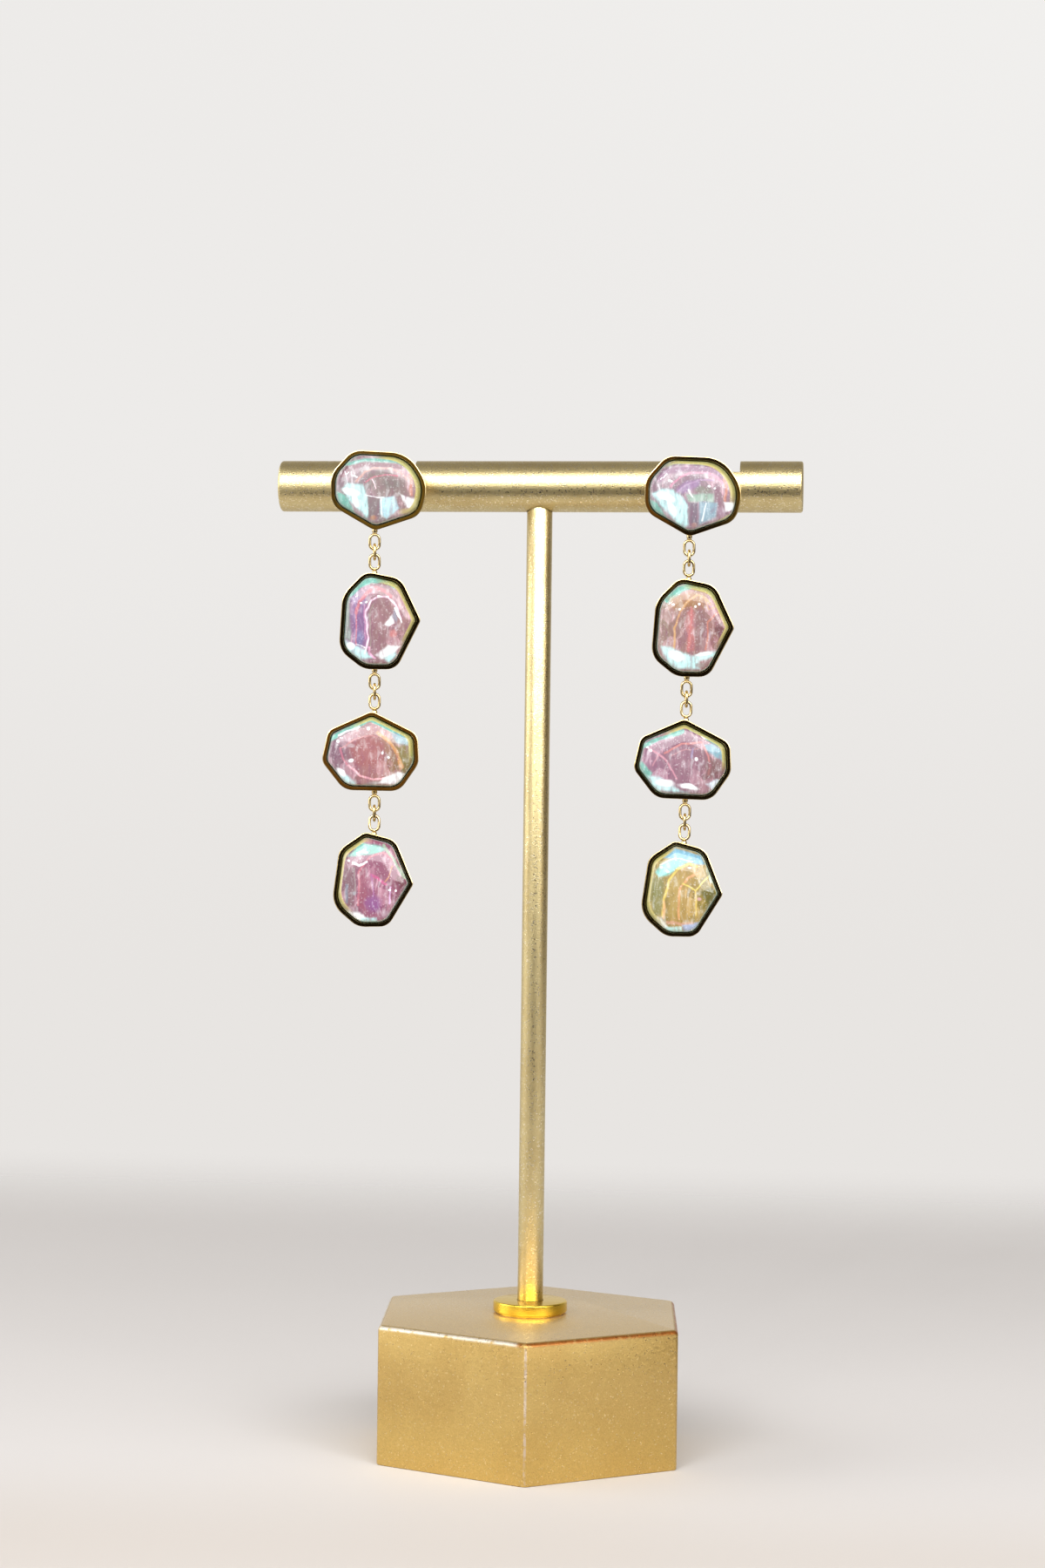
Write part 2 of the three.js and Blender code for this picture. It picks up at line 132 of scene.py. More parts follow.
class Graph:
    """Builds one node tree, a node at a time."""

    def __init__(self, tree: bpy.types.NodeTree) -> None:
        """Starts with an empty tree."""
        self.tree = tree
        tree.nodes.clear()

    @classmethod
    def material(cls, name: str) -> tuple["Graph", Material]:
        """Makes a new material, and the graph that fills it."""
        material = bpy.data.materials.new(name)
        material.use_nodes = True
        return cls(material.node_tree), material

    def put(self, socket: bpy.types.NodeSocket, value: Value) -> None:
        """Links or sets one input socket. A string is a screen colour."""
        if isinstance(value, Wire):
            self.tree.links.new(value.socket, socket)
            return
        value = paint(value) if isinstance(value, str) else value
        if isinstance(value, (int, float)):
            socket.default_value = value
        else:
            socket.default_value = (*value, 1.0)[:len(socket.default_value)]

    def node(self, kind: str, sockets: Optional[dict[Union[int, str], Value]] = None,
             output: Union[int, str] = 0, **settings: object) -> Wire:
        """Adds any node.

        Args:
            kind: The node's type.
            sockets: Values or wires for its inputs, by name or place.
            output: The output that is wanted.
            settings: Its properties, which are set first.

        Returns:
            The wire of that output.
        """
        made = self.tree.nodes.new(kind)
        for key, value in settings.items():
            setattr(made, key, value)
        for key, value in (sockets or {}).items():
            self.put(made.inputs[key], value)
        return Wire(self, made.outputs[output])

    def maths(self, operation: str, *values: Value) -> Wire:
        """Adds a Math node."""
        return self.node("ShaderNodeMath", dict(enumerate(values)), operation=operation)

    def vector(self, operation: str, *values: Value) -> Wire:
        """Adds a Vector Math node that gives a vector."""
        return self.node("ShaderNodeVectorMath", dict(enumerate(values)), operation=operation)

    def number(self, operation: str, *values: Value) -> Wire:
        """Adds a Vector Math node that gives a number."""
        return self.node("ShaderNodeVectorMath", dict(enumerate(values)), "Value",
                         operation=operation)

    def mix(self, share: Value, first: Value, second: Value) -> Wire:
        """Mixes two colours by a share."""
        return self.node("ShaderNodeMix", {0: share, 6: first, 7: second}, 2, data_type="RGBA")

    def smooth(self, value: Value, low: float, high: float, start: float = 0.0,
               end: float = 1.0) -> Wire:
        """Goes softly from start to end as the value goes from low to high."""
        return self.node("ShaderNodeMapRange", {0: value, 1: low, 2: high, 3: start, 4: end},
                         interpolation_type="SMOOTHSTEP")

    def clamp(self, value: Value) -> Wire:
        """Keeps a value from zero to one."""
        return self.node("ShaderNodeClamp", {0: value})

    def noise(self, place: Wire, scale: float, detail: float = 2.0,
              output: Union[int, str] = 0) -> Wire:
        """Adds a noise texture."""
        return self.node("ShaderNodeTexNoise", {"Vector": place, "Scale": scale,
                                                "Detail": detail}, output)

    def grains(self, place: Wire, scale: float, channel: int = 0) -> Wire:
        """Gives each cell of a texture a random number."""
        cells = self.node("ShaderNodeTexVoronoi", {"Vector": place, "Scale": scale}, "Color")
        return self.node("ShaderNodeSeparateColor", {0: cells}, channel)

    def stretched(self, place: Wire, x: float, y: float) -> Wire:
        """Scales a flat place by a number for each direction."""
        return self.vector("MULTIPLY", place, (x, y, 0.0))

    def split(self, vector: Wire) -> tuple[Wire, Wire, Wire]:
        """Takes a vector apart."""
        made = self.node("ShaderNodeSeparateXYZ", {0: vector}).socket.node
        x, y, z = (Wire(self, socket) for socket in made.outputs)
        return x, y, z

    def flat(self, x: Value, y: Value) -> Wire:
        """Puts a flat vector together."""
        return self.node("ShaderNodeCombineXYZ", {0: x, 1: y, 2: 0.0})

    def place(self) -> Wire:
        """Gives the place on the object."""
        return self.node("ShaderNodeTexCoord", output="Object")

    def bump(self, height: Value, strength: float, distance: float) -> Wire:
        """Turns a height into a bumped normal."""
        return self.node("ShaderNodeBump", {"Height": height, "Strength": strength,
                                            "Distance": distance})

    def principled(self, **sockets: Value) -> Wire:
        """Adds a Principled shader, whose inputs are named with _ for a space."""
        return self.node("ShaderNodeBsdfPrincipled",
                         {key.replace("_", " "): value for key, value in sockets.items()})

    def close(self, shader: Wire, kind: str = "ShaderNodeOutputMaterial") -> None:
        """Sends a shader to the tree's output."""
        made = self.tree.nodes.new(kind)
        self.put(made.inputs["Surface"], shader)


class Slot(Enum):
    """Material slots of the record."""

    FLAKE = "flake_paint"
    BRIGHT = "bright_brass"
    SATIN = "satin_brass"
    GOLD = "polished_gold"


@dataclass(frozen=True)
class SatinGold:
    """Bead-blasted champagne gold, with a fine sparkling grain."""

    colour: str = "dccb98"
    shade: str = "b3965a"
    sparkle: str = "fff6dc"
    roughness: float = 0.36
    grain: float = 5200.0
    grain_depth: float = 0.08 * MM

    def material(self) -> Material:
        """Builds the material."""
        g, material = Graph.material("satin_champagne_gold")
        place = g.place()
        fine = g.noise(place, self.grain)
        sparkle = g.smooth(g.grains(place, self.grain), 0.8, 1.0)
        cloud = g.noise(place, 260.0)
        colour = g.mix(g.smooth(cloud, 0.3, 0.7, 0.0, 0.22), self.colour, self.shade)
        colour = g.mix(sparkle * 0.55, colour, self.sparkle)
        rough = self.roughness + (fine - 0.5) * 0.22 - sparkle * 0.14
        g.close(g.principled(Base_Color=colour, Metallic=1.0, Roughness=rough,
                             Normal=g.bump(fine, 0.5, self.grain_depth)))
        return material


@dataclass(frozen=True)
class CollarGold:
    """Brushed and polished ring, yellower than the bar."""

    colour: str = "f7d552"
    shade: str = "d9a01c"
    roughness: float = 0.22
    brush_depth: float = 0.05 * MM

    def material(self) -> Material:
        """Builds the material."""
        g, material = Graph.material("polished_collar_gold")
        x, y, z = g.split(g.place())
        around = g.flat(g.maths("ARCTAN2", y, x) * 0.004, z * 60.0)
        rings = g.noise(around, 900.0, 3.0)
        rough = self.roughness + (rings - 0.5) * 0.2
        colour = g.mix(g.smooth(rings, 0.35, 0.7, 0.0, 0.35), self.colour, self.shade)
        g.close(g.principled(Base_Color=colour, Metallic=1.0, Roughness=rough,
                             Normal=g.bump(rings, 0.25, self.brush_depth)))
        return material


@dataclass(frozen=True)
class FlakeLacquer:
    """Gold lacquer full of metal flakes, worn to silver along the upper edges."""

    reach: float
    height: float
    turn: float
    colour: str = "ccae6b"
    deep: str = "b08a48"
    low: str = "e2be66"
    flake: str = "8f7136"
    glint: str = "ffeebb"
    # Painted highlight that makes the flat top look lit.
    top: str = "ecd6ae"
    # Painted yellow light round the collar.
    halo: str = "e6bd5c"
    worn: str = "e6dfd2"
    # Darker brown for the right of the top bevel.
    right_brown: str = "a8662a"
    corner: str = "d3c2b2"
    flakes: float = 5200.0
    flake_depth: float = 0.06 * MM

    def material(self) -> Material:
        """Builds the material."""
        g, material = Graph.material("gold_flake_lacquer")
        place = g.place()
        x, y, z = g.split(place)
        # Each flake has three random numbers: its tilt, its shade and its gloss.
        red, green, blue = (g.grains(place, self.flakes, channel) for channel in range(3))
        coarse = g.noise(place, 900.0, 3.0)
        cloud = g.noise(place, 70.0)
        glint = g.smooth(red, 0.94, 1.0)
        colour = g.mix(g.smooth(cloud, 0.35, 0.65, 0.0, 0.35), self.colour, self.deep)
        # Warmer towards the foot, paler on top with a painted highlight, and painted yellow light
        # round the collar.
        low = g.smooth(z, self.height * 0.7, 0.0)
        colour = g.mix(low * 0.45, colour, self.low)
        colour = g.mix(green * 0.22, colour, self.flake)
        colour = g.mix(glint * 0.32, colour, self.glint)
        flat = g.smooth(z, self.height - 0.08 * MM, self.height - 0.02 * MM)
        colour = g.mix(flat * 0.8, colour, self.top)
        away = g.number("DISTANCE", g.stretched(place, 1.0, 0.8), (1 * MM, -8 * MM, 0.0))
        colour = g.mix(g.smooth(away, 9 * MM, 2 * MM) * flat * 0.5, colour, self.halo)
        # Bare silver on the left of the top bevel, darker brown on its right.
        top, corner = self.edges(g, x, y, z, coarse)
        right = g.smooth(x, 0.5 * MM, 1.5 * MM)
        colour = g.mix(top * (1.0 - right), colour, self.worn)
        colour = g.mix(top * right * 1.2, colour, self.right_brown)
        colour = g.mix(corner, colour, self.corner)
        rough = 0.42 + (blue - 0.5) * 0.3 - glint * 0.2
        g.close(g.principled(Base_Color=colour, Metallic=0.85, Roughness=rough, Coat_Weight=0.25,
                             Coat_Roughness=0.15, Normal=g.bump(red, 0.35, self.flake_depth)))
        return material

    def edges(self, g: Graph, x: Wire, y: Wire, z: Wire, coarse: Wire) -> tuple[Wire, Wire]:
        """Finds where the lacquer is worn to silver, and where the top bevel turns darker brown.

        Args:
            g: The material's graph.
            x: Place to the right.
            y: Place to the back.
            z: Place upwards.
            coarse: A noise that breaks the wear up.

        Returns:
            How much the top bevel and the front corner change colour, from zero to one.
        """
        top = g.smooth(z, self.height - 0.9 * MM, self.height - 0.4 * MM)
        top = top * g.smooth(z, self.height - 0.05 * MM, self.height - 0.25 * MM)
        angle = self.turn - math.pi / 2
        along = x * math.cos(angle) + y * math.sin(angle)
        corner = g.smooth(along, self.reach - 0.175 * MM, self.reach - 0.145 * MM)
        return top * g.smooth(coarse, 0.25, 0.5) * 0.85, corner * g.smooth(coarse, 0.3, 0.6) * 0.8


@dataclass(frozen=True)
class PolishedGold:
    """Yellow gold plating: the flat rims are mirror-polished, and the rest a little softer."""

    colour: str = "e6d096"
    side_colour: str = "dac698"
    shade: str = "c9a65a"
    roughness: float = 0.045
    side_roughness: float = 0.13
    ripple_depth: float = 0.2 * MM

    def material(self) -> Material:
        """Builds the material."""
        g, material = Graph.material("polished_yellow_gold")
        place = g.place()
        slow = g.noise(place, 420.0)
        fine = g.noise(place, 3000.0)
        rim = g.node("ShaderNodeAttribute", output="Fac", attribute_name=RIM_MARK)
        colour = g.mix(rim, self.side_colour, self.colour)
        colour = g.mix(g.smooth(slow, 0.35, 0.7, 0.0, 0.4), colour, self.shade)
        rough = (self.side_roughness + (self.roughness - self.side_roughness) * rim
                 + g.smooth(fine, 0.5, 0.8) * 0.03)
        g.close(g.principled(Base_Color=colour, Metallic=1.0, Roughness=rough,
                             Normal=g.bump(slow, 0.03, self.ripple_depth)))
        return material


@dataclass(frozen=True)
class Glow:
    """A soft patch of colour in a stone, placed from the setting's middle."""

    x: float
    y: float
    wide: float
    tall: float
    # With its default white colour and full strength, a glow is a painted highlight of a lamp.
    colour: str = WHITE
    strength: float = 1.0
    turn: float = 0.0

    def mask(self, g: Graph, place: Wire) -> Wire:
        """Gives the patch's strength over the stone."""
        c, s = math.cos(math.radians(self.turn)), math.sin(math.radians(self.turn))
        off = g.vector("SUBTRACT", place, (self.x, self.y, 0.0))
        across = g.number("DOT_PRODUCT", off, (c / self.wide, s / self.wide, 0.0))
        up = g.number("DOT_PRODUCT", off, (-s / self.tall, c / self.tall, 0.0))
        away = g.maths("SQRT", across * across + up * up)
        return g.smooth(away, 1.0, GLOW_CORE, 0.0, self.strength)


@dataclass(frozen=True)
class Line:
    """A line of light through a chain of points in a stone."""

    points: tuple[Point, ...]
    width: float
    colour: str
    strength: float = 1.0
    soft: float = 0.75

    def mask(self, g: Graph, place: Wire) -> Wire:
        """Gives the line's strength over the stone."""
        away: Optional[Wire] = None
        for (x0, y0), (x1, y1) in zip(self.points, self.points[1:]):
            along = (x1 - x0, y1 - y0, 0.0)
            size = along[0] ** 2 + along[1] ** 2
            off = g.vector("SUBTRACT", place, (x0, y0, 0.0))
            share = g.clamp(g.number("DOT_PRODUCT", off,
                                     (along[0] / size, along[1] / size, 0.0)))
            gap = g.number("DISTANCE", off, g.vector("MULTIPLY", along, share))
            away = gap if away is None else g.maths("MINIMUM", away, gap)
        return g.smooth(away, self.width, self.width * (1 - self.soft), 0.0, self.strength)


@dataclass(frozen=True)
class Patch:
    """A facet of one colour in a stone, with as many corners as it needs, and convex."""

    points: tuple[Point, ...]
    colour: str
    strength: float
    soft: float

    def mask(self, g: Graph, place: Wire) -> Wire:
        """Gives the facet's strength over the stone."""
        pairs = list(zip(self.points, self.points[1:] + self.points[:1]))
        hand = math.copysign(1.0, sum(x0 * y1 - x1 * y0 for (x0, y0), (x1, y1) in pairs))
        outside: Optional[Wire] = None
        for (x0, y0), (x1, y1) in pairs:
            size = math.hypot(x1 - x0, y1 - y0) * hand
            nx, ny = (y1 - y0) / size, (x0 - x1) / size
            off = g.number("DOT_PRODUCT", place, (nx, ny, 0.0)) - (x0 * nx + y0 * ny)
            outside = off if outside is None else g.maths("MAXIMUM", outside, off)
        return g.smooth(outside, self.soft / 2, -self.soft / 2, 0.0, self.strength)


Mark = Union[Glow, Line, Patch]


@dataclass(frozen=True)
class StoneFinish:
    """Foil-backed iridescent glass: a streaked body under pale facets at its rim, which are
    painted reflections.

    Khaki is the direction, in degrees, of the side where a khaki band is painted for the cup's
    gold wall showing through the glass.
    """

    name: str
    left: str
    middle: str
    right: str
    marks: tuple[Mark, ...]
    streaks: str = "eec2d2"
    shade: str = "7d5068"
    # Painted reflection: a pale ring along the dome's edge.
    rim: str = "9dbdbb"
    # Colours of the painted khaki band, the cup's gold wall seen through the glass.
    band: tuple[str, str] = ("b5ab66", "7d7c42")
    khaki: float = 30.0
    tint: Colour = (0.55, 0.62, 0.53)
    bend: float = 5.5

    def material(self, shape: "Outline", middle: Matrix, bezel: "Bezel") -> Material:
        """Builds the material for one stone where it hangs.

        Args:
            shape: The setting's outline.
            middle: The place and turn of the setting's middle.
            bezel: The section that says how high the stone stands.

        Returns:
            The material.
        """
        g, material = Graph.material(f"iridescent_{self.name}")
        x, depth, y = self.local(g, middle)
        bend_x, bend_y, _ = g.split(g.noise(g.place(), 420.0, 5.0, output="Color"))
        x = x + (bend_x - 0.5) * self.bend
        y = y + (bend_y - 0.5) * self.bend
        place = g.flat(x, y)
        across = x / (shape.width / 2 / STROKE)

        # The body: three colours from left to right, with facets and fibres in them.
        colour = g.mix(g.smooth(across, -0.75, 0.0), self.tinted(self.left),
                       self.tinted(self.middle))
        colour = g.mix(g.smooth(across, 0.0, 0.75), colour, self.tinted(self.right))
        fibre = g.noise(g.stretched(place, 0.26, 0.05), 1.0, 4.0)
        facet = g.grains(g.stretched(place, 0.085, 0.05), 1.0)
        for pattern, low, high, share, streak in (
                (facet, 0.3, 1.0, 0.2, self.streaks), (facet, 0.4, 0.0, 0.35, self.shade),
                (fibre, 0.54, 0.7, 0.32, self.streaks), (fibre, 0.46, 0.3, 0.5, self.shade)):
            colour = g.mix(g.smooth(pattern, low, high, 0.0, share), colour, streak)

        # How near the rim a place is comes from how high the dome stands there.
        rise = g.clamp((bezel.girdle_place / MM - depth * (STROKE / MM)) / (bezel.crown / MM))
        edge = (1.0 - rise ** DOME_POWER) ** (1 / DOME_POWER)
        # Fibres cross the pale facets and lines, which are painted reflections, but not the soft
        # glows.
        veil = g.smooth(fibre, 0.36, 0.58, 0.5, 1.0)
        for mark in self.marks:
            share = mark.mask(g, place)
            if sum(paint(mark.colour)) > PALE and not isinstance(mark, Glow):
                share = share * veil
            colour = g.mix(share, colour, self.tinted(mark.colour))
        # A silky veil over it all, then a pale painted reflection round the rim with a painted
        # khaki band for the cup's wall on one side, and last the specks.
        silk = g.noise(g.stretched(place, 0.16, 0.07), 1.0)
        colour = g.mix(g.smooth(silk, 0.5, 0.72, 0.0, 0.2), colour, WHITE)
        colour = g.mix(g.smooth(silk, 0.5, 0.28, 0.0, 0.4), colour, self.shade)
        # Painted reflection round the rim.
        colour = g.mix(g.smooth(edge, 0.96, 0.99, 0.0, 0.6), colour, self.rim)
        # Painted khaki band on one side: the cup's gold wall seen through the glass.
        angle = math.radians(self.khaki)
        side = g.number("DOT_PRODUCT", place, (math.cos(angle), math.sin(angle), 0.0))
        band = g.mix(g.smooth(edge, 0.87, 0.985), *self.band)
        colour = g.mix(g.smooth(edge, 0.84, 0.88) * g.smooth(side, 8.0, 26.0, 0.0, 0.9), colour,
                       band)
        specks = g.grains(g.place(), 6500.0)
        colour = g.mix(g.smooth(specks, 0.9, 1.0, 0.0, 0.2), colour, WHITE)
        g.close(g.principled(Base_Color=colour, Metallic=0.0, Roughness=0.3,
                             Specular_IOR_Level=0.3, Coat_Weight=1.0, Coat_Roughness=0.02,
                             Coat_IOR=1.45, Normal=g.bump(fibre, 0.06, 0.2 * MM)))
        return material

    def tinted(self, code: str) -> Colour:
        """Deepens a colour of the glass, and leaves the pale reflections alone."""
        colour = paint(code)
        if sum(colour) > PALE:
            return colour
        return tuple(part * tint for part, tint in zip(colour, self.tint))

    @staticmethod
    def local(g: Graph, middle: Matrix) -> tuple[Wire, Wire, Wire]:
        """Gives the place in the stone's own plane, in strokes."""
        place, turn, _ = middle.decompose()
        mapped = g.node("ShaderNodeMapping",
                        {"Vector": g.place(), "Location": tuple(place),
                         "Rotation": tuple(turn.to_euler("XYZ")),
                         "Scale": (STROKE, STROKE, STROKE)}, vector_type="TEXTURE")
        return g.split(mapped)


def bend(before: Vector, after: Vector) -> float:
    """Gives the angle between two directions of length one."""
    return math.acos(max(-1.0, min(1.0, before.dot(after))))


@dataclass(frozen=True)
class Corner:
    """A rounded corner of an outline, in metres from its setting's own origin."""

    x: float
    z: float
    radius: float


@dataclass(frozen=True)
class Outline:
    """A setting's outline, counter-clockwise seen from the front.

    Corners are shares of the width and height from the lower left, with a radius in shares of
    the width. The plumb line crosses at the share that hangs says.
    """

    width: float
    height: float
    hangs: float
    tip: float
    corners: tuple[tuple[float, float, float], ...]

    def middle(self) -> Vector:
        """Gives the middle of the outline's box."""
        return Vector(((0.5 - self.hangs) * self.width, 0.0, 0.0))

    def inset(self, by: float) -> list[Corner]:
        """Moves every side inwards and keeps the corners round."""
        raw = [Vector(((x - self.hangs) * self.width, (z - 0.5) * self.height))
               for x, z, _ in self.corners]
        count = len(raw)
        sides = [(raw[(i + 1) % count] - raw[i]).normalized() for i in range(count)]
        moved = []
        for i, corner in enumerate(raw):
            before, after = sides[i - 1], sides[i]
            reach = by / (1 + before.dot(after))
            moved.append(corner + reach * Vector((-before.y - after.y, before.x + after.x)))
        out = []
        for i, corner in enumerate(moved):
            turn = bend(sides[i - 1], sides[i])
            room = 0.49 * min((corner - moved[i - 1]).length,
                              (corner - moved[(i + 1) % count]).length)
            wanted = max(self.corners[i][2] * self.width - 0.4 * by, 0.4 * MM)
            out.append(Corner(corner.x, corner.y, min(wanted, room / math.tan(turn / 2))))
        return out

    def points(self, by: float, steps: int) -> list[Vector]:
        """Rounds the corners of the inset outline.

        Args:
            by: How far the outline is moved inwards.
            steps: Segments of each corner.

        Returns:
            The outline's points, with z as their second number.
        """
        corners = self.inset(by)
        flat = [Vector((corner.x, corner.z)) for corner in corners]
        points = []
        for i, corner in enumerate(corners):
            before = (flat[i] - flat[i - 1]).normalized()
            after = (flat[(i + 1) % len(flat)] - flat[i]).normalized()
            turn = bend(before, after)
            start = flat[i] - before * corner.radius * math.tan(turn / 2)
            centre = start + corner.radius * Vector((-before.y, before.x))
            for step in range(steps + 1):
                spoke = start - centre
                spoke.rotate(Matrix.Rotation(turn * step / steps, 2))
                points.append(centre + spoke)
        return points

    def span(self, by: float) -> tuple[float, float]:
        """Gives the lowest and highest point of the inset outline on the plumb line."""
        points = self.points(by, 3)
        heights = []
        for i, point in enumerate(points):
            following = points[(i + 1) % len(points)]
            if (point.x <= 0) != (following.x <= 0):
                share = -point.x / (following.x - point.x)
                heights.append(point.y + share * (following.y - point.y))
        return min(heights), max(heights)


def level(edge: bmesh.types.BMEdge) -> bool:
    """Tells whether an edge lies level in its piece."""
    return abs(edge.verts[0].co.z - edge.verts[1].co.z) < TINY


def many_sided(face: bmesh.types.BMFace) -> bool:
    """Tells whether a face is a whole outline or disc, and not one of its small sides."""
    return len(face.verts) > MANY_CORNERS


class Bench:
    """Models one piece with Blender's own tools, as by hand."""

    MODES = {"verts": "VERT", "edges": "EDGE", "faces": "FACE"}
    CORNER_STEPS = 6

    def __init__(self, name: str) -> None:
        """Takes the finished piece's name, and starts with nothing selected."""
        self.name = name
        self.piece: Optional[Piece] = None
        self.held: Optional[bmesh.types.BMesh] = None
        select_only()

    def begin(self) -> None:
        """Takes the object that was just added, and goes into edit mode."""
        self.piece = bpy.context.object
        self.piece.name = self.name
        self.piece.data.name = self.name
        bpy.ops.object.mode_set(mode="EDIT")

    def cylinder(self, sides: int, radius: float, length: float, middle: Sequence[float],
                 turn: Sequence[float] = (0, 0, 0)) -> None:
        """Adds a cylinder and goes into edit mode, where its axis is always Z.

        Args:
            sides: Its number of sides.
            radius: Its radius.
            length: Its length.
            middle: Where its middle is.
            turn: How it is turned, in radians.
        """
        bpy.ops.mesh.primitive_cylinder_add(vertices=sides, radius=radius, depth=length,
                                            location=middle, rotation=turn)
        self.begin()

    def blank(self) -> None:
        """Goes into edit mode with an empty mesh."""
        bpy.ops.mesh.primitive_circle_add(vertices=3, radius=MM)
        self.begin()
        bpy.ops.mesh.delete(type="VERT")

    @property
    def mesh(self) -> bmesh.types.BMesh:
        """The mesh being edited."""
        self.held = bmesh.from_edit_mesh(self.piece.data)
        for items in (self.held.verts, self.held.edges, self.held.faces):
            items.index_update()
            items.ensure_lookup_table()
        return self.held

    def pick(self, kind: str, picked: Sequence[int]) -> None:
        """Selects these of the verts, edges or faces, and nothing else."""
        bpy.ops.mesh.select_mode(type=self.MODES[kind])
        bpy.ops.mesh.select_all(action="DESELECT")
        mesh = self.mesh
        for index in picked:
            getattr(mesh, kind)[index].select_set(True)
        mesh.select_flush_mode()
        bmesh.update_edit_mesh(self.piece.data)

    def choose(self, kind: str, test: Callable[..., bool]) -> None:
        """Selects the verts, edges or faces that pass a test, and nothing else."""
        self.pick(kind, [item.index for item in getattr(self.mesh, kind) if test(item)])

    def bevel(self, width: float, segments: int, **options: float) -> None:
        """Rounds the selected edges."""
        bpy.ops.mesh.bevel(offset=width, segments=segments, affect="EDGES", **options)

    def extrude(self, *way: float) -> None:
        """Extrudes the selected faces along X, Y and Z."""
        bpy.ops.mesh.extrude_region_move(TRANSFORM_OT_translate={"value": way})

    def goals(self, outline: Outline, inset: float, depth: float) -> list[Vector]:
        """Gives the points of an outline that stands in the XZ plane.

        Args:
            outline: The setting's outline.
            inset: How far it is moved inwards.
            depth: Its place along Y.

        Returns:
            The points in space.
        """
        return [Vector((p.x, depth, p.y)) for p in outline.points(inset, self.CORNER_STEPS)]

    def ring(self, outline: Outline, inset: float, depth: float) -> None:
        """Draws an outline with round corners from a circle with as many points."""
        goals = self.goals(outline, inset, depth)
        bpy.ops.mesh.primitive_circle_add(vertices=len(goals), radius=outline.width / 2,
                                          location=(0, depth, 0), rotation=(math.pi / 2, 0, 0))
        fresh = sorted((v for v in self.mesh.verts if v.select),
                       key=lambda v: math.atan2(v.co.z, v.co.x))
        self.shape({v.index: goal for v, goal in zip(fresh, goals)})

    def step(self, outline: Outline, last: float, inset: float, depth: float) -> None:
        """Extrudes the open ring and moves its points onto the next ring of the section."""
        before = outline.points(last, self.CORNER_STEPS)
        goals = self.goals(outline, inset, depth)
        bpy.ops.mesh.extrude_edges_move()
        nearest = {v.index: min(range(len(before)), key=lambda i: (before[i] - v.co.xz).length)
                   for v in self.mesh.verts if v.select}
        self.shape({index: goals[place] for index, place in nearest.items()})

    def shape(self, goals: dict[int, Vector]) -> None:
        """Moves each of these points to its place and leaves them all selected."""
        for index, goal in goals.items():
            self.pick("verts", [index])
            bpy.ops.transform.translate(value=goal - self.mesh.verts[index].co)
        self.pick("verts", list(goals))

    def end(self, smooth: float) -> Piece:
        """Leaves edit mode with the faces pointing out.

        Args:
            smooth: The largest angle in degrees that is shaded smooth.

        Returns:
            The finished object.
        """
        bpy.ops.mesh.select_mode(type="FACE")
        bpy.ops.mesh.select_all(action="SELECT")
        bpy.ops.mesh.normals_make_consistent(inside=False)
        bpy.ops.object.mode_set(mode="OBJECT")
        select_only(self.piece)
        bpy.ops.object.transform_apply(location=True, rotation=True, scale=True)
        bpy.ops.object.shade_smooth_by_angle(angle=math.radians(smooth))
        return self.piece


def select_only(*pieces: Piece) -> None:
    """Selects these objects and nothing else, with the first one active."""
    bpy.ops.object.select_all(action="DESELECT")
    for piece in pieces:
        piece.select_set(True)
    if pieces:
        bpy.context.view_layer.objects.active = pieces[0]


def moved(piece: Piece, place: Matrix) -> Piece:
    """Puts a piece at a place and applies it to its mesh."""
    select_only(piece)
    piece.matrix_world = place
    bpy.context.view_layer.update()
    bpy.ops.object.transform_apply(location=True, rotation=True, scale=True)
    return piece


def copied(piece: Piece, name: str) -> Piece:
    """Copies a piece with a mesh of its own."""
    select_only(piece)
    bpy.ops.object.duplicate(linked=False)
    twin = bpy.context.object
    twin.name = name
    twin.data.name = name
    return twin


def joined(*pieces: Piece) -> Piece:
    """Joins pieces into the first one."""
    select_only(*pieces)
    bpy.ops.object.join()
    return pieces[0]


def dress(piece: Piece, material: Material, body: str,
          node: str) -> None:
    """Gives a finished piece its material and body, and hides the CAD node that it stands for.

    Args:
        piece: The piece.
        material: Its material.
        body: The CAD body that it moves with.
        node: The CAD node that it stands for.
    """
    piece.data.materials.clear()
    piece.data.materials.append(material)
    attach(piece, body)
    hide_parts(node)
    log.info("%s rides on %s", piece.name, body)


